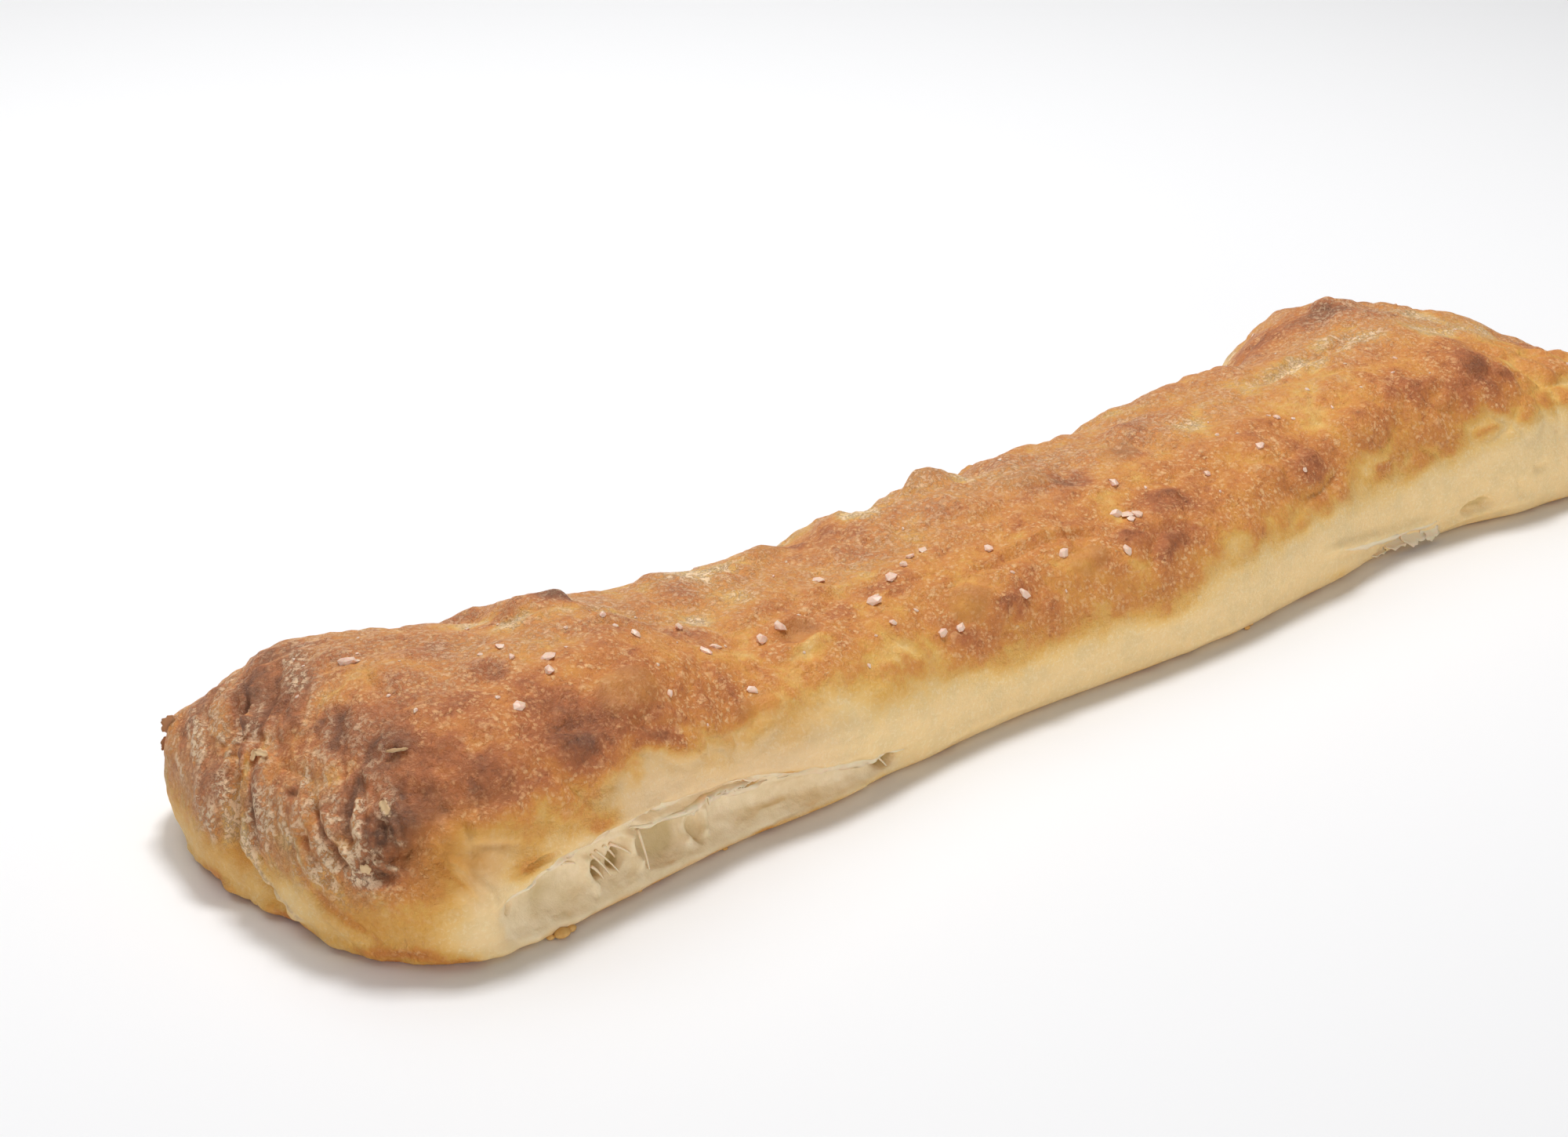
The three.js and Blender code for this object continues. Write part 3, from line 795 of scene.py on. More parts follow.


# %% [markdown]
# The browning of a point starts from how far it lies above the line, then come the patches, the
# stone-baked foot, the pale rim of the seam and the dark hollow beside it. What would be darker
# than char is held back at the end.

# %% Work out the browning, with the painted shade of the tear's crease
def browning_and_shade(surface):
    """0 for pale dough, 0.5 for golden brown and 1 for char, with painted shade along the tear's crease.
    """
    x, y, z = surface.points.T
    near_line = np.interp(x, *np.array(BROWN_LINE).T)
    far_line = np.interp(x, *np.array(FAR_LINE).T)
    line = near_line + (far_line - near_line) * ease(-8, 8, y)
    wander = 1.4 * lumps(surface.points, 14, 75) + 1.2 * lumps(surface.points, 5, 76)
    above = z - line + wander
    baked_and_shaded = 0.04 + 0.28 * ease(-7.5, 2.5, above) + 0.16 * ease(0, 9, above)
    end_baked = 0.20 + 0.28 * ease(4, 26, z) + 0.10 * ease(28, 36, z)
    u_end, _, end_mask = surface.charts["end"]
    near_end = end_mask * ease(24, 12, u_end)
    far_end = ease(178, 196, x)
    baked_and_shaded += (end_baked - baked_and_shaded) * np.maximum(near_end, far_end)
    baked_and_shaded += chart_bakes(surface, "top", TOP_BAKES, 2.0) * ease(-1, 5, above)
    baked_and_shaded += chart_bakes(surface, "end", END_BAKES, 0.8)
    baked_and_shaded += chart_bakes(surface, "flank", FLANK_BAKES_AND_SHADE, 0.5)
    baked_and_shaded += 0.22 * ease(1.6, 0.3, z + 0.8 * lumps(surface.points, 5, 79))
    right, strength = from_seam(surface)
    baked_and_shaded -= 0.20 * hill((right - 0.7) / 0.9) * strength * ease(35, 26, z)
    baked_and_shaded += 0.34 * hill((right - 3.0) / 1.3) * strength * ease(12, 17, z)
    blotches = 0.12 * lumps(surface.points, 12, 77) + 0.07 * lumps(surface.points, 5, 78)
    baked_and_shaded += blotches * ease(-2, 4, above)
    return np.where(baked_and_shaded > 0.6, 0.6 + 0.32 * np.tanh((baked_and_shaded - 0.6) / 0.32), baked_and_shaded)


def note(thing, name, values):
    """Stores a number for every point of a mesh under a name that a finish can read."""
    layer = thing.data.attributes.new(name, "FLOAT", "POINT")
    layer.data.foreach_set("value", np.asarray(values, np.float32))


# %% [markdown]
# The notes are kept by name. The first two are how brown the skin is, with painted shade along the
# crease under the lip of the tear, darker in the creases and cracks of the folded end and a little
# browner on the swellings of the top, and how deep in a crack it lies.

# %% Note the browning with its painted shade, and the cracks
surface = Surface(loaf)
x, y, z = surface.points.T
u_top, v_top, top_mask = surface.charts["top"]
u_side, z_side, side_mask = surface.charts["flank"]
u_end, z_end, end_mask = surface.charts["end"]
cracks = ease(0.1, -0.5, curds) * dusted
creased = np.clip(-wrinkles, 0, 1)
bumped = (swellings + 0.3 * small_swellings - 0.6) * browned
baked_and_shaded = browning_and_shade(surface)
# the browning, with painted shade along the tear's crease, and darker in the creases and cracks of the
# folded end
note(loaf, "toast_and_shade", baked_and_shaded + 0.10 * cracks + 0.26 * creased + 0.16 * bumped - 0.06 * dusted)
note(loaf, "cracks", np.clip(cracks + creased, 0, 1))
print(f"the browning runs from {baked_and_shaded.min():.2f} to {baked_and_shaded.max():.2f}")

# %% [markdown]
# Flour stuck to the folded end, where the hands were, and burnt off its hottest places. A thin
# bloom of it also lies on the far half of the top, with two gaps that were brushed clean.

# %% Note the flour
BURNT = [  # place, reach, lean: where the flour burnt off the folded end
    ((0.5, 27.5), (5.0, 7), 8), ((-33, 33), (2.4, 4), 0), ((-10, 37.5), (4, 3.4), 0),
    ((0, 38.5), (7, 3), 0), ((-25, 35), (4, 4), 0), ((-40, 21), (2, 3), 10), ((9, 33), (5, 5), 0),
    ((2, 34), (6, 3), 0), ((7, 27), (3, 7), 8),
]
PALE_SWIRL = [  # place, reach, lean: pale dough that shows in the swirl of the knot
    ((-3.8, 29), (0.9, 3.6), 4), ((1.8, 31.8), (1.7, 1.4), 60), ((-1.8, 21.9), (1.2, 0.8), 0),
    ((4.4, 27), (1.6, 0.7), -40), ((3, 22), (3.4, 0.6), -12), ((0, 24.4), (1.2, 1.0), 0),
    ((-6.4, 25.6), (1.4, 1.6), 0), ((-19, 20), (2.2, 2), 0),
]
BLOOM_GAPS = [((124, 18), (18, 9)), ((-52, 9), (12, 6))]  # place and reach on the top chart

burnt = sum(hill(reach_from(u_end, z_end, *place)) for place in BURNT)
spared = (1 - 0.6 * np.clip(burnt, 0, 1)) * (0.75 + 0.6 * lumps(surface.points, 7, 81))
floury = dusted * spared * (0.55 + 0.45 * ease(-0.3, 0.3, curds))
bloom = ease(-26, -6, y) * (0.36 + 0.22 * lumps(surface.points, 13, 84))
bloom += 0.5 * ease(0.40, 0.24, baked_and_shaded) * ease(-34, -20, y)
for place, reach in BLOOM_GAPS:
    bloom *= 1 - 0.7 * hill(reach_from(u_top, v_top, place, reach))
floury += np.clip(bloom, 0, 1) * browned * top_mask * ease(-190, -172, x)
right, strength = from_seam(surface)
floury += 0.7 * hill((right - 0.7) / 0.8) * strength * ease(30, 24, z_end)
floury += 0.30 * hill(reach_from(u_end, z_end, (-43, 24), (5, 8))) * end_mask
for place, reach, lean in PALE_SWIRL:
    floury += 0.8 * hill(reach_from(u_end, z_end, place, reach, lean)) * end_mask
note(loaf, "flour", np.clip(floury, 0, 1))
print(f"flour lies on {np.mean(floury > 0.2):.0%} of the points")

# %% [markdown]
# Below the lip of the tear the crumb is bare down to the foot. Shade is painted into its opened
# cells, darker the deeper they go, and into the shaded pocket under the near end of the lip and the
# long crease in the skin.

# %% Note the bare crumb and the painted shade of its hollows
below_lip = np.interp(u_side, *np.array(LIP).T) - z_side
skinless = ease(-0.3, 0.9, below_lip) * ease(1.0, 2.4, z_side + 0.6 * lumps(surface.points, 5, 86))
skinless *= ease(-184, -172, u_side) * ease(-66, -92, u_side) * side_mask
note(loaf, "torn", np.clip(np.maximum(in_tear, 0.9 * skinless), 0, 1))
# painted shade: the pocket under the near end of the lip and the crease in the skin, with that of the
# opened cells
pocket = 0.76 * hill(reach_from(u_side, z_side, (-168, 9), (10, 5))) * in_tear
crease = hill(reach_from(u_side, z_side, (-115, 12), (9, 1.1), -8)) * side_mask
note(loaf, "painted_shade", np.maximum.reduce([np.clip(-opened / 2.4, 0, 1), pocket, crease]))
print(f"the crumb is bare on {np.mean(skinless > 0.5):.1%} of the points")

# %% [markdown]
# The first blisters in the list blew up thin and stayed glossy. Where oil ran down the folded end
# and soaked in, its skin is stained amber.

# %% Note the gloss and the amber stains
GLOSSY_BLISTERS = 9
AMBER = [  # place, reach, lean and strength on the end chart
    ((-2, 10), (11, 4), -12, 1.0), ((15, 22), (8, 7), -15, 1.0), ((25, 24), (9, 5), -20, 0.6),
    ((-31.5, 15), (1.8, 9), 6, 0.9), ((-36, 10), (5, 4), 30, 0.6),
]
glossy = top_mask * sum(
    ease(1.15, 0.8, reach_from(u_top, v_top, place, reach, lean))
    for place, reach, lean, rise in BLISTERS[:GLOSSY_BLISTERS]
)
amber = end_mask * sum(
    strength * hill(reach_from(u_end, z_end, place, reach, lean))
    for place, reach, lean, strength in AMBER
)
note(loaf, "glossy", np.clip(glossy, 0, 1))
note(loaf, "amber", np.clip(amber, 0, 1))
print("noted:", ", ".join(layer.name for layer in loaf.data.attributes if layer.data_type == "FLOAT"))

# %% [markdown]
# ## The finish of the crust
#
# A finish is a net of nodes. Sums on values are easier to read as sums than as boxes and wires,
# so a small class wraps a socket and lets Python's own signs add the Math nodes.

# %% A socket that does sums
class Wire:
    """One value on its way between nodes."""

    def __init__(self, finish, socket):
        self.finish = finish
        self.socket = socket

    def sum(self, operation, *values):
        return self.finish.node("ShaderNodeMath", {"operation": operation}, dict(enumerate(values)))

    def __add__(self, other):
        return self.sum("ADD", self, other)

    def __sub__(self, other):
        return self.sum("SUBTRACT", self, other)

    def __rsub__(self, other):
        return self.sum("SUBTRACT", other, self)

    def __mul__(self, other):
        return self.sum("MULTIPLY", self, other)

    __radd__ = __add__
    __rmul__ = __mul__


# %% [markdown]
# Every finish is built in the same way, so a second class adds the nodes: clouds, cells, steps,
# ramps and blends, each with its size in millimetres.

# %% A finish and the nodes that feed it
class Finish:
    """A material with one Principled shader, and short ways to add the nodes that feed it."""

    def __init__(self, name, **shader_values):
        self.material = bpy.data.materials.new(name)
        self.material.use_nodes = True
        self.tree = self.material.node_tree
        self.shader = self.tree.nodes["Principled BSDF"]
        for socket, value in shader_values.items():
            self.shader.inputs[socket.replace("_", " ")].default_value = value
        self.place = self.node("ShaderNodeTexCoord", output="Object")

    def plug(self, socket, value):
        if isinstance(value, Wire):
            self.tree.links.new(value.socket, socket)
        else:
            socket.default_value = value

    def node(self, kind, settings=None, inputs=None, output=0):
        made = self.tree.nodes.new(kind)
        for name, value in (settings or {}).items():
            setattr(made, name, value)
        for name, value in (inputs or {}).items():
            self.plug(made.inputs[name], value)
        return Wire(self, made.outputs[output])

    def feed(self, **sockets):
        for socket, value in sockets.items():
            self.plug(self.shader.inputs[socket.replace("_", " ")], value)

    def attribute(self, name):
        return self.node("ShaderNodeAttribute", {"attribute_name": name}, output="Fac")

    def along(self, axis):
        """The place on the loaf along one axis, in metres."""
        return self.node("ShaderNodeSeparateXYZ", inputs={"Vector": self.place}, output=axis)

    def noise(self, size, detail=2.0, roughness=0.5, warp=0.0, shift=0.0):
        """Cloudy values about 0.5, in clouds of the given size in mm, dragged about by warp mm."""
        return self.node(
            "ShaderNodeTexNoise",
            inputs={"Vector": self.dragged(warp, shift) if warp else self.place,
                    "Scale": 1 / (size * MM), "Detail": detail, "Roughness": roughness},
        )

    def dragged(self, warp, shift=0.0):
        """The place on the loaf, dragged about by warp mm so that nothing on it looks regular."""
        drag = self.node(
            "ShaderNodeTexNoise", inputs={"Vector": self.place, "Scale": 0.7 / (warp * MM)}, output="Color"
        )
        drag = self.move(drag, "SUBTRACT", (0.5 - shift, 0.5, 0.5))
        return self.move(self.place, "ADD", self.move(drag, "MULTIPLY", (1.6 * warp * MM,) * 3))

    def move(self, one, operation, other):
        """A vector sum."""
        return self.node("ShaderNodeVectorMath", {"operation": operation}, {0: one, 1: other})

    def cells(self, size, warp):
        """The distance to the middle of the nearest cell, in cells of the given size in mm."""
        return self.node(
            "ShaderNodeTexVoronoi", inputs={"Vector": self.dragged(warp), "Scale": 1 / (size * MM)}
        )

    def step(self, value, start, end):
        """0 at start and 1 at end, eased."""
        return self.node(
            "ShaderNodeMapRange", {"interpolation_type": "SMOOTHSTEP"},
            {"Value": value, "From Min": start, "From Max": end},
        )

    def ramp(self, value, stops):
        """The colour of a value on a ramp of positions and colours."""
        coloured = self.node("ShaderNodeValToRGB", inputs={"Fac": value})
        elements = coloured.socket.node.color_ramp.elements
        while len(elements) < len(stops):
            elements.new(0.5)
        for element, (position, colour) in zip(elements, stops):
            element.position = position
            element.color = colour
        return coloured

    def blend(self, mask, under, over):
        """The colour under, with the colour over laid on where the mask is 1."""
        mixer = self.tree.nodes.new("ShaderNodeMix")
        mixer.data_type = "RGBA"
        for index, value in ((0, mask), (6, under), (7, over)):
            self.plug(mixer.inputs[index], value)
        return Wire(self, mixer.outputs[2])


# %% [markdown]
# Colours are easier to judge on the scale of 0 to 255 that a painter's chart uses, but Blender
# mixes light, and light doesn't grow evenly with those numbers. One helper turns them into light.

# %% Colours
def srgb(red, green, blue):
    """A colour as a painter's chart gives it, 0 to 255, as the light values Blender wants."""
    def linear(part):
        part /= 255
        return part / 12.92 if part <= 0.04045 else ((part + 0.055) / 1.055) ** 2.4
    return (linear(red), linear(green), linear(blue), 1.0)


def two_tone(name, dark, light, size, detail, **shader_values):
    """A finish that wanders between two colours, in clouds of the given size in mm."""
    finish = Finish(name, **shader_values)
    finish.feed(Base_Color=finish.blend(finish.noise(size, detail), dark, light))
    return finish


# %% [markdown]
# The crust runs from pale dough through golden brown to char on one colour ramp, driven by the
# browning. Clouds in it make the browning uneven, as sugar in the dough is, but a glossy blister
# is stretched too thin to be mottled.

# %% The browned skin
BROWNING_RAMP = [
    (0.00, srgb(245, 213, 158)), (0.14, srgb(242, 202, 130)), (0.25, srgb(231, 176, 84)),
    (0.35, srgb(225, 152, 66)), (0.47, srgb(214, 134, 62)), (0.62, srgb(188, 108, 54)),
    (0.78, srgb(154, 86, 42)), (1.00, srgb(100, 60, 38)),
]
crust = Finish("crust", Subsurface_Weight=0.10, Subsurface_Scale=0.003)
crust.shader.inputs["Subsurface Radius"].default_value = (1.0, 0.5, 0.25)
# the browning from the mesh, which also carries the painted shade of the tear's crease
toast_and_shade = crust.attribute("toast_and_shade")
gloss = crust.attribute("glossy")
clouds = crust.noise(5, 4, 0.6)
fine_clouds = crust.noise(1.1, 3, 0.6)
browned_skin = crust.step(toast_and_shade, 0.12, 0.36)
dry_skin = crust.step(toast_and_shade, 0.28, 0.46)
matt_skin = 1 - gloss * 0.5
mottled = toast_and_shade + ((clouds - 0.5) * 0.40 + (fine_clouds - 0.5) * 0.22 * matt_skin) * browned_skin
colour = crust.ramp(mottled, BROWNING_RAMP)

# %% [markdown]
# Over the browned skin lie thousands of tiny pale specks, partly bubbles in it that dried out and
# partly painted highlights where the light caught them, and darker flecks between them. They come
# in clusters and fade on charred skin.

# %% Specks and flecks
FLECK_RAMP = [
    (0.0, srgb(252, 218, 160)), (0.5, srgb(246, 190, 130)), (0.7, srgb(226, 160, 106)),
    (1.0, srgb(176, 128, 94)),
]
clustered = crust.step(crust.noise(7, 3, 0.6), 0.34, 0.62) * 0.7 + 0.3
fleck = crust.step(crust.cells(1.5, warp=0.8), 0.42, 0.15) * clustered
speck = crust.step(crust.noise(0.9, 3, 0.7, warp=1.2), 0.52, 0.66) * clustered
coarse_fleck = crust.step(crust.cells(4.2, warp=2.4), 0.28, 0.15)
dark_fleck = crust.step(crust.noise(3.0, 3, 0.6, warp=1.5, shift=0.3), 0.46, 0.30)
uncharred = 1 - crust.step(toast_and_shade, 0.55, 0.85) * 0.75
specks_and_highlights = (fleck * 0.85 + speck * 0.95 + coarse_fleck * 0.40) * matt_skin
specks_and_highlights = specks_and_highlights * (browned_skin * 0.15 + dry_skin * 0.85) * uncharred
darker = crust.ramp(mottled + 0.14, BROWNING_RAMP)
colour = crust.blend(dark_fleck * 0.75 * matt_skin * dry_skin, colour, darker)
# the pale specks: bubbles that dried out, and painted highlights
colour = crust.blend(specks_and_highlights, colour, crust.ramp(toast_and_shade, FLECK_RAMP))
colour = crust.blend(gloss * dry_skin * 0.4, colour, srgb(176, 122, 54))

# %% [markdown]
# The pale flank is steamed dough, greyish in places and grained with drier, lighter dough. Beside
# the tear it is a little pinker, since the skin there is thin.

# %% The pale flank
along_loaf = crust.along("X")
near_tear = crust.step(along_loaf, -80 * MM, -105 * MM) * crust.step(along_loaf, -172 * MM, -150 * MM)
pale_skin = 1 - browned_skin
greyish = crust.step(crust.noise(7, 4, 0.65), 0.40, 0.66)
grainy = crust.step(crust.noise(0.9, 3, 0.7, warp=1.4), 0.50, 0.66)
colour = crust.blend(greyish * pale_skin * 0.50, colour, srgb(226, 199, 146))
colour = crust.blend(grainy * pale_skin * 0.40, colour, srgb(250, 228, 184))
colour = crust.blend(near_tear * pale_skin * 0.34, colour, srgb(222, 182, 148))

# %% [markdown]
# Flour clings in grains to whatever stands out, and leaves the cracks clean. The crumb comes last,
# because where the skin is torn off none of the rest is there to be seen.

# %% Flour, amber and crumb
flour = crust.attribute("flour")
grain = crust.step(crust.noise(1.3, 5, 0.75, warp=1.2) + flour * 0.08, 0.51, 0.60)
uncracked = 1 - crust.attribute("cracks") * 0.85
colour = crust.blend(flour * 0.28, colour, srgb(224, 172, 132))
colour = crust.blend(grain * flour * uncracked * 0.94, colour, srgb(253, 218, 178))
soaked = crust.attribute("amber") * (0.80 - flour * 0.5) * (clouds * 1.2 + 0.25)
colour = crust.blend(soaked, colour, srgb(208, 142, 56))
crumb_colour = crust.ramp(
    crust.noise(3.5, 3, 0.6), [(0.30, srgb(234, 210, 166)), (0.70, srgb(249, 228, 191))]
)
colour = crust.blend(crust.attribute("torn") * (1 - browned_skin), colour, crumb_colour)
# painted shade of the opened cells, the pocket under the lip and the crease of the tear
colour = crust.blend(crust.step(crust.attribute("painted_shade"), 0.35, 1.0) * 0.80, colour, srgb(186, 158, 96))

# %% [markdown]
# The relief goes down to about 1.5 mm. Finer roughness is bump, and stronger where the skin is
# browned, because a baked skin is rougher to the touch than a steamed one.

# %% The grain of the crust
bumps = crust.noise(1.0, 4, 0.7) * 0.9 + crust.noise(3.0, 3) * 0.7 + specks_and_highlights * 0.15 - dark_fleck * 0.2
height_map = bumps * (0.30 + browned_skin * 0.70 * matt_skin) + grain * flour * 0.3
normal = crust.node(
    "ShaderNodeBump", inputs={"Strength": 1.0, "Distance": 0.8 * MM, "Height": height_map}, output="Normal"
)
crust.feed(Base_Color=colour, Roughness=0.68 - browned_skin * 0.14, Normal=normal)
loaf.data.materials.clear()
loaf.data.materials.append(crust.material)
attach(loaf, "root")
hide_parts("loaf")
print("finished the crust with", len(crust.tree.nodes), "nodes")

# %% [markdown]
# ## Coarse salt
#
# The salt is cloudy broken crystals, from less than a millimetre to about three across. Each one
# is a flattened lump with its corners pushed about at random, so twenty faces are enough. They
# are put down on the crust by casting a ray from above: a crystal lies where it fell. The large
# ones have their places in a list, and the small ones fall anywhere.

# %% A way to find the surface
loaf_form = bmesh.new()
loaf_form.from_mesh(loaf.data)
skin_tree = BVHTree.FromBMesh(loaf_form)
loaf_form.free()


def touch(start, direction):
    """Where a straight line first meets the loaf, and which way the skin faces there."""
    place, facing, _, _ = skin_tree.ray_cast(Vector(start) * MM, Vector(direction).normalized())
    return place, facing


def rest_on(form, verts, place, facing, spin, sunk):
    """Lays new points with their up along the way the skin faces, turned and sunk in a little."""
    upright = facing.to_track_quat("Z", "Y").to_matrix().to_4x4()
    lay = Matrix.Translation(place - facing * sunk * MM) @ upright @ Matrix.Rotation(spin, 4, "Z")
    bmesh.ops.transform(form, matrix=lay, verts=verts)


# %% Salt
LARGE_SALT = [  # where the large crystals lie, x and y in mm
    (-152, -14), (-149, -22), (-146, -18), (-151, -9), (-161, -27.5), (-107, -12.5), (-104, -21),
    (-109, -23.5), (-124, -19), (-107, -35.5), (-129, -35), (-93, -23), (-87, -22), (-65, -11),
    (-47, -19), (-38, -16), (-62, -25), (-64, -33), (-53, -37), (-48, -37.5), (-59, -45), (-26, -25),
    (-11, -33.5), (-29, -38.5), (-3, -42), (5, -38.5), (21, -20), (12, -29), (14, -30.5), (16, -32),
    (13, -32.5), (-53, -21), (-44, -18), (-175, 10), (45, -28), (62, -30), (78, -22),
]


def crystal(form, size, chance):
    """One flat broken crystal of salt with twenty faces."""
    made = bmesh.ops.create_icosphere(form, subdivisions=1, radius=0.62 * size * MM)["verts"]
    for vert in made:
        vert.co += Vector(chance.uniform(-0.16, 0.16, 3)) * size * MM
    squash = Matrix.Diagonal((*chance.uniform(0.6, 1.3, 2), chance.uniform(0.35, 0.6), 1))
    bmesh.ops.transform(form, matrix=squash, verts=made)
    return made


DROPPED = 120  # crystals in all, some of which fall off where the skin is too steep
CRYSTAL_LIFT = 0.10  # how high the middle of a crystal lies over the skin, in sizes of the crystal
WHOLE_TURN = 6.3  # radians, just over one turn
STEEPEST = 0.45  # how level the skin must be for salt to stay on it, from 0 to 1

chance = np.random.default_rng(91)
salt_form = bmesh.new()
spots = [(x, y, chance.uniform(1.6, 2.7)) for x, y in LARGE_SALT]
while len(spots) < DROPPED:
    spots.append((chance.uniform(-190, 190), chance.uniform(-42, 34), chance.uniform(0.6, 1.1)))
for x, y, size in spots:
    place, facing = touch((x, y, 80), (0, 0, -1))
    if place is None or facing.z < STEEPEST:
        continue
    verts = crystal(salt_form, size, chance)
    rest_on(salt_form, verts, place, facing, chance.uniform(0, WHOLE_TURN), -CRYSTAL_LIFT * size)
bmesh.ops.recalc_face_normals(salt_form, faces=salt_form.faces)
print("salt:", len(salt_form.faces), "faces")
salt = new_piece("salt_crystals", salt_form)
salt.data.shade_flat()
salt_finish = two_tone(
    "salt", srgb(228, 188, 162), srgb(248, 218, 198), 0.8, 2,
    Roughness=0.42, Subsurface_Weight=0.3, Subsurface_Scale=0.001,
)
salt.data.materials.append(salt_finish.material)
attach(salt, "root")

# %% [markdown]
# ## Torn skin, threads and flakes
#
# Where the loaves were pulled apart, thin sheets of skin still hang over the tear, and a few
# threads of crumb span the opened cells. Each sheet is a strip of grid laid along the lip and
# given a thickness, since a sheet that is really there casts the thin dark line under its edge.

# %% Sheets of torn skin
def on_flank(x, z):
    """The place on the near flank at a length and height in mm, and the way it faces."""
    return touch((x, -120, z), (0, 1, 0))


def sheet(form, line, find, wide, stand, chance):
    """A thin strip along a line of the surface: rooted at its upper edge, free at its lower one."""
    corners = np.array(line, float)
    walked = np.concatenate([[0], np.cumsum(np.hypot(*np.diff(corners, axis=0).T))])
    count = max(6, int(walked[-1] / 0.7))
    strip = bmesh.ops.create_grid(form, x_segments=count, y_segments=4, size=1)["verts"]
    wave = chance.uniform(0, 6, 3)
    for vert in strip:
        along = (vert.co.x + 1) / 2
        down = (1 - vert.co.y) / 2
        u, z = (np.interp(along * walked[-1], walked, corners[:, k]) for k in (0, 1))
        taper = math.sin(math.pi * min(max(along, 0.02), 0.98)) ** 0.6
        ragged = 1 + 0.25 * math.sin(9 * along + wave[0]) + 0.2 * math.sin(31 * along + wave[1])
        place, facing = find(u, z - down * wide * taper * ragged)
        lift = (-0.5 + (0.5 + stand * taper) * down ** 0.7) * (1 + 0.2 * math.sin(17 * along + wave[2]))
        vert.co = place + facing * lift * MM
    faces = list({face for vert in strip for face in vert.link_faces})
    bmesh.ops.recalc_face_normals(form, faces=faces)
    bmesh.ops.solidify(form, geom=faces, thickness=0.28 * MM)


SHEETS = [  # the line of the root, how wide the sheet is and how far its free edge stands off
    ([(-179, 12.8), (-172, 15.2), (-165, 17.2), (-157, 17.6), (-150, 17.8), (-142, 17.2)], 1.5, 0.9),
    ([(-152, 17.4), (-146, 17.2), (-138, 17.2), (-130, 16.6), (-121, 15.6)], 1.7, 1.0),
    ([(-144, 13.6), (-137, 13.2), (-130, 12.8), (-124, 14.0), (-117, 14.0), (-110, 13.2)], 1.6, 1.1),
    ([(-126, 16.6), (-117, 15.4), (-108, 13.4), (-99, 11.8), (-90, 10.0)], 1.2, 0.8),
    ([(-104, 10.6), (-96, 9.4), (-88, 8.2), (-78, 8.0), (-70, 6.6)], 1.2, 0.8),
    ([(-122, 12.0), (-114, 11.0), (-107, 11.0)], 0.9, 0.6),
    ([(-131, 11.6), (-127, 11.0), (-123, 11.4)], 1.0, 0.8),
    ([(76, 10.8), (84, 9.4), (94, 7.4), (104, 6.4), (116, 6.2)], 1.7, 0.7),
]
chance = np.random.default_rng(92)
skin_form = bmesh.new()
for line, wide, stand in SHEETS:
    sheet(skin_form, line, on_flank, wide, stand, chance)
print("sheets of skin:", len(skin_form.faces), "faces")
skin = new_piece("torn_skin", skin_form)
skin_finish = two_tone(
    "torn skin", srgb(236, 206, 170), srgb(250, 228, 198), 2.0, 3,
    Roughness=0.6, Subsurface_Weight=0.3, Subsurface_Scale=0.002,
)
skin.data.materials.append(skin_finish.material)
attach(skin, "root")

# %% [markdown]
# A thread of crumb is dough that stretched as the loaves came apart and dried before it broke. A
# curve with a bevel could draw it, but its ends would be blunt tubes. So a small ring is extruded
# step by step and shrunk a little each time, and the thread tapers as it does on the loaf.

# %% Threads of crumb over the opened cells
THREAD_STEPS = 6  # the lengths that a thread is made of


def thread(form, start, end, thick, sag):
    """A thin thread from one place to another, thinner at its far end, hanging through a little."""
    span = end - start
    ring = bmesh.ops.create_circle(form, cap_ends=True, segments=6, radius=thick * MM)["verts"]
    whole = list(ring)
    rim = [edge for edge in {edge for vert in ring for edge in vert.link_edges} if edge.is_boundary]
    for _ in range(THREAD_STEPS):
        grown = bmesh.ops.extrude_edge_only(form, edges=rim)["geom"]
        ring = [part for part in grown if isinstance(part, bmesh.types.BMVert)]
        rim = [part for part in grown if isinstance(part, bmesh.types.BMEdge) and part.is_boundary]
        bmesh.ops.translate(form, verts=ring, vec=(0, 0, span.length / THREAD_STEPS))
        bmesh.ops.scale(form, verts=ring, vec=(0.9, 0.9, 1))
        whole += ring
    bmesh.ops.holes_fill(form, edges=rim)
    for vert in whole:
        share = vert.co.z / span.length
        vert.co.x += 4 * sag * MM * share * (1 - share)
    lay = Matrix.Translation(start) @ span.to_track_quat("Z", "X").to_matrix().to_4x4()
    bmesh.ops.transform(form, matrix=lay, verts=whole)


THREADS = [  # from and to, along the flank and up, in mm
    ((-154.4, 11.4), (-150.6, 5.8)), ((-153, 11.8), (-148.4, 5.8)), ((-150.8, 12), (-146.6, 7.2)),
    ((-149.4, 12), (-145, 8.6)), ((-155.4, 9.6), (-152.6, 5.8)), ((-141.6, 12.4), (-141.2, 4.4)),
    ((-77, 6.8), (-73.2, 2.6)), ((-162, 12.6), (-158.6, 11.4)),
]
thread_form = bmesh.new()
for (u0, z0), (u1, z1) in THREADS:
    start, facing = on_flank(u0, z0)
    end, _ = on_flank(u1, z1)
    start += facing * 0.3 * MM
    end += facing * 0.4 * MM
    thread(thread_form, start, end, thick=chance.uniform(0.24, 0.38), sag=0.2)
bmesh.ops.recalc_face_normals(thread_form, faces=thread_form.faces)
print("threads:", len(thread_form.faces), "faces")
threads = new_piece("crumb_threads", thread_form)
threads.data.materials.append(skin_finish.material)
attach(threads, "root")

# %% [markdown]
# The crust of the folded end sheds flakes. A flake is a small grid, curled over its width, given a
# thickness and set down on the skin. It could be drawn into the loaf's own skin, but then it would
# cast no shadow under its edge.

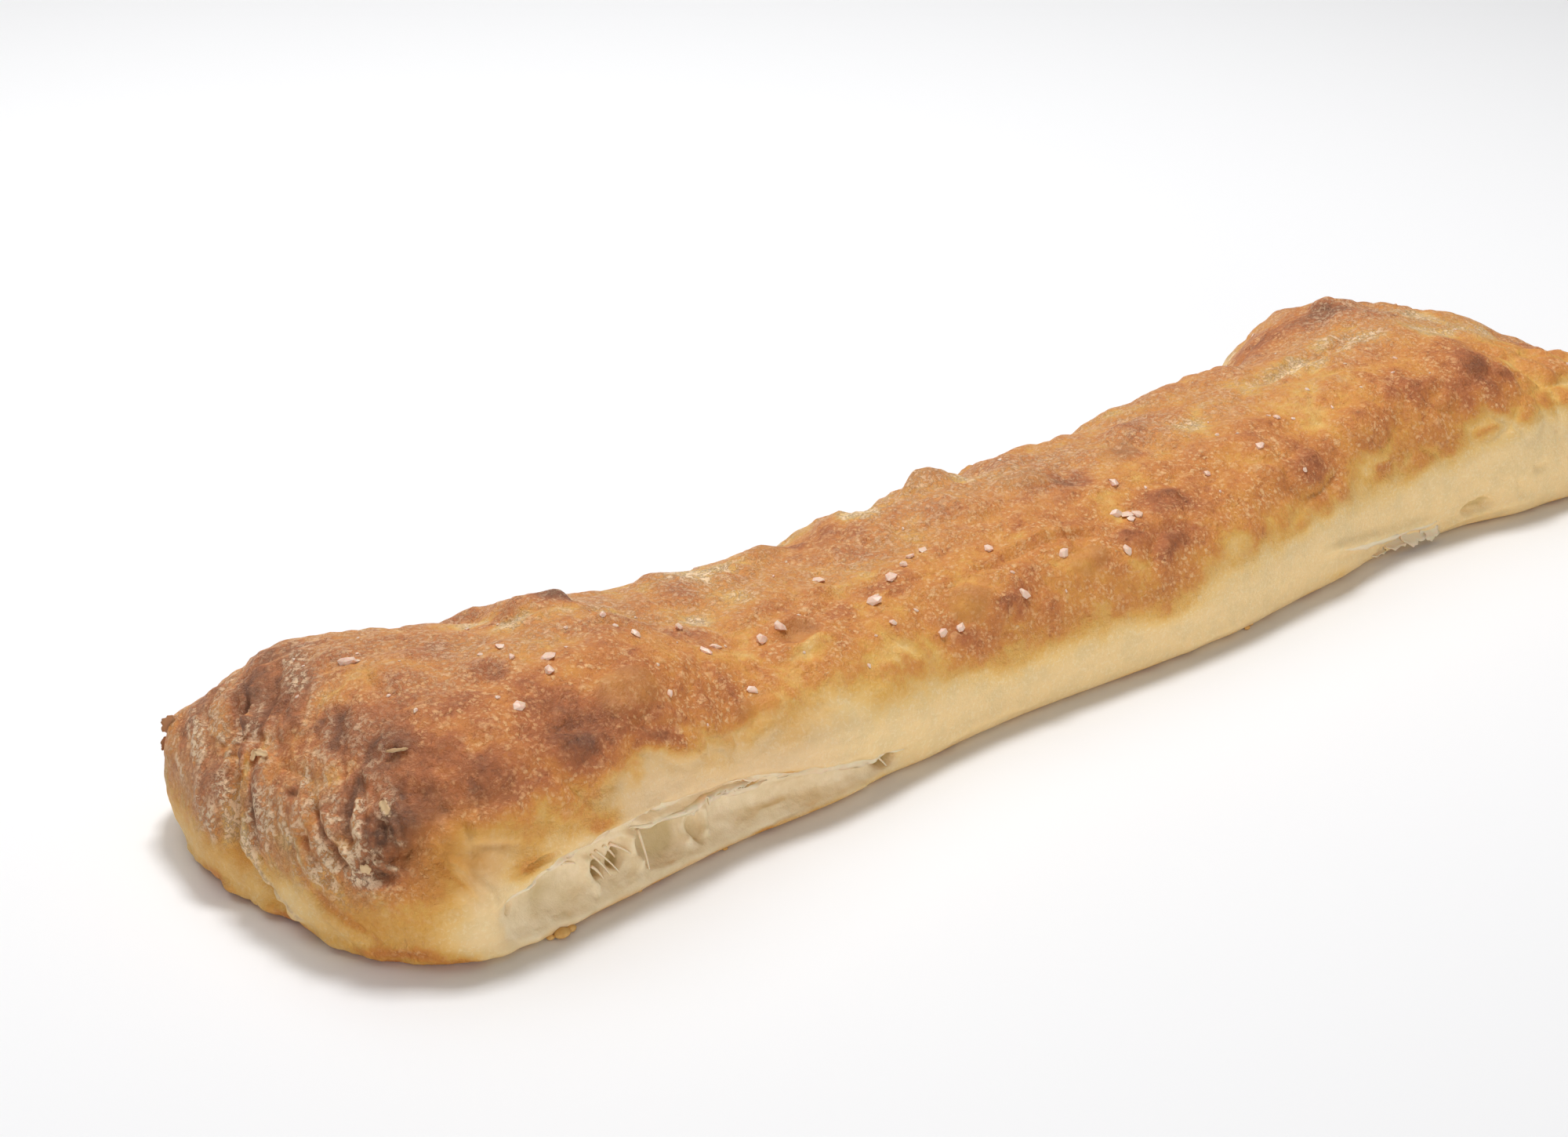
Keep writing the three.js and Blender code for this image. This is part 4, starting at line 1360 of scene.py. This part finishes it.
# %% Flakes on the folded end
def on_end(right, z):
    """The place on the rounded near end at a place of its chart, and the way it faces."""
    across = (right + NAVEL) * math.sqrt(2)
    return touch(((across - 500) / 2, (-across - 500) / 2, z), (1, 1, 0))


def flake(form, place, facing, long, wide, curl, spin, lean, chance):
    """A curled flake, long by wide in mm, that stands up from the skin by lean degrees."""
    before = set(form.verts)
    made = bmesh.ops.create_grid(form, x_segments=10, y_segments=4, size=0.5)["verts"]
    wave = chance.uniform(0, 6, 2)
    for vert in made:
        x, y, _ = vert.co
        ragged = 1 + 0.2 * math.sin(11 * x + wave[0]) + 0.12 * math.sin(27 * x + wave[1])
        rounded = math.sqrt(max(0.04, 1 - (2 * x) ** 2)) ** 0.7
        bowed = curl * (4 * y * y + 1.2 * x * x)
        vert.co = Vector((x * long, y * wide * ragged * rounded, bowed)) * MM
    faces = list({face for vert in made for face in vert.link_faces})
    bmesh.ops.solidify(form, geom=faces, thickness=0.3 * MM)
    whole = [vert for vert in form.verts if vert not in before]
    bmesh.ops.transform(form, matrix=Matrix.Rotation(math.radians(lean), 4, "X"), verts=whole)
    rest_on(form, whole, place, facing, math.radians(spin), -0.25)


END_FLAKES = [  # where on the end chart, length, width, curl, spin and lean
    ((-26, 31.4), 4.0, 1.4, 0.2, 15, 8), ((-28.2, 29.8), 2.6, 1.1, 0.2, 80, 8),
    ((2.5, 38.4), 4.4, 0.7, 0.3, 10, 10), ((1.6, 31.8), 3.2, 1.8, 0.2, -50, 8),
    ((-1.8, 21.4), 2.4, 1.8, 0.1, 10, 4),
]
BESIDE_LOBE = (-276, 124)  # mm, out in the air beside the side lobe
LOBE_FLAKES = [(23.4, 4.6, 3.0, 84), (19.0, 3.0, 1.4, 96)]  # height, length, width and spin

flake_form = bmesh.new()
for (right, z), *shape in END_FLAKES:
    place, facing = on_end(right, z)
    if place:
        flake(flake_form, place, facing, *shape, chance)
for z, long, wide, spin in LOBE_FLAKES:
    place, facing = touch((*BESIDE_LOBE, z), (1, -1, 0))
    flake(flake_form, place, facing, long, wide, 0.5, spin, 84, chance)
print("flakes:", len(flake_form.faces), "faces")
flakes = new_piece("crust_flakes", flake_form)
flake_finish = Finish("flakes", Roughness=0.7, Subsurface_Weight=0.1, Subsurface_Scale=0.002)
on_side_lobe = flake_finish.step(flake_finish.along("Y"), 12 * MM, 16 * MM)
pale_flake = flake_finish.blend(flake_finish.noise(2.0, 3), srgb(210, 168, 120), srgb(238, 204, 158))
flake_finish.feed(Base_Color=flake_finish.blend(on_side_lobe, pale_flake, srgb(190, 140, 96)))
flakes.data.materials.append(flake_finish.material)
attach(flakes, "root")

# %% [markdown]
# Along the foot some dough squeezed out, baked thin and stayed on as ragged flaps. They are made
# as flakes are, and cut off level with the stone.

# %% Flaps along the foot
FOOT_FLAPS = [  # where along the foot, length, width, lean
    ((103, 2.8), 7.0, 3.6, -50), ((109, 3.4), 8.0, 5.2, -38), ((114.5, 3.2), 6.0, 4.2, -44),
    ((96, 2.2), 6.0, 2.4, -60),
]
flap_form = bmesh.new()
for (x, z), long, wide, lean in FOOT_FLAPS:
    place, facing = on_flank(x, z)
    flake(flap_form, place, facing, long, wide, 0.4, 0, lean, chance)
floor_cut = bmesh.ops.bisect_plane(
    flap_form, geom=flap_form.verts[:] + flap_form.edges[:] + flap_form.faces[:],
    plane_co=(0, 0, 0), plane_no=(0, 0, 1), clear_inner=True,
)
cut_edges = [part for part in floor_cut["geom_cut"] if isinstance(part, bmesh.types.BMEdge)]
bmesh.ops.holes_fill(flap_form, edges=cut_edges)
bmesh.ops.recalc_face_normals(flap_form, faces=flap_form.faces)
print("flaps:", len(flap_form.faces), "faces")
flaps = new_piece("foot_flaps", flap_form)
flaps.data.materials.append(skin_finish.material)
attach(flaps, "root")

# %% [markdown]
# Crumbs broke off the foot and lie beside it on the stone, each a small flattened ball whose
# points are pushed in and out.

# %% Crumbs at the foot
CRUMBS = [  # x, y and size in mm
    (-166.5, -53.4, 2.6), (-164.2, -53.0, 1.9), (-168.6, -53.2, 1.4), (41.5, -52.6, 1.3),
    (44.0, -52.8, 0.9), (-144.0, -55.0, 0.8), (-120.0, -55.2, 0.9),
]
crumb_form = bmesh.new()
for x, y, size in CRUMBS:
    foot, _ = touch((x, -120, 0.45 * size), (0, 1, 0))
    made = bmesh.ops.create_icosphere(crumb_form, subdivisions=2, radius=0.5 * size * MM)["verts"]
    for vert in made:
        vert.co *= 1 + chance.uniform(-0.14, 0.14)
    beside_foot = Matrix.Translation((x * MM, foot.y - 0.35 * size * MM, 0.4 * size * MM))
    bmesh.ops.transform(crumb_form, verts=made, matrix=beside_foot @ Matrix.Diagonal((1.5, 1.0, 0.75, 1)))
print("crumbs:", len(crumb_form.faces), "faces")
crumbs = new_piece("foot_crumbs", crumb_form)
crumb_finish = two_tone("crumbs", srgb(206, 148, 74), srgb(238, 196, 122), 1.2, 3, Roughness=0.75)
crumbs.data.materials.append(crumb_finish.material)
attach(crumbs, "root")

# %% [markdown]
# ## The table top and the light
#
# A plain pale floor, a lamp and a wide roof window overhead, both a little behind the loaf, and a
# white card low in front of it. The lamp is small enough to draw the dark line along the loaf's
# foot, the window gives the wide soft shadow round it, and the card keeps the near flank bright.

# %% Floor, lights and world
FLOOR_REACH = 4000  # mm
LAMP_PLACE = Vector((0.18, 0.25, 1.20))  # m
WINDOW_PLACE = Vector((-0.12, 0.52, 0.88))  # m
CARD_PLACE = Vector((-0.50, -1.25, 0.20))  # m

floor_form = bmesh.new()
bmesh.ops.create_circle(floor_form, cap_ends=True, segments=96, radius=FLOOR_REACH * MM)
floor = new_piece("floor", floor_form)
floor_finish = two_tone("floor", srgb(246, 246, 247), srgb(248, 248, 249), 400, 1, Roughness=0.7)
floor.data.materials.append(floor_finish.material)


def hang_light(name, place, wide, tall, watts):
    """Hangs a flat rectangular light that faces the loaf."""
    light = bpy.data.lights.new(name, "AREA")
    light.shape = "RECTANGLE"
    light.size = wide
    light.size_y = tall
    light.energy = watts
    hung = bpy.data.objects.new(name, light)
    hung.location = place
    hung.rotation_euler = (-place).to_track_quat("-Z", "Y").to_euler()
    bpy.context.scene.collection.objects.link(hung)


hang_light("lamp", LAMP_PLACE, wide=0.28, tall=0.28, watts=9.1)
hang_light("roof window", WINDOW_PLACE, wide=1.20, tall=0.80, watts=4.4)
hang_light("white card", CARD_PLACE, wide=1.20, tall=0.36, watts=5.8)

room = bpy.data.worlds.new("room")
room.use_nodes = True
sky = room.node_tree.nodes["Background"].inputs
sky["Color"].default_value = (1, 1, 1, 1)
sky["Strength"].default_value = 0.22
bpy.context.scene.world = room
bpy.context.scene.view_settings.view_transform = "Standard"
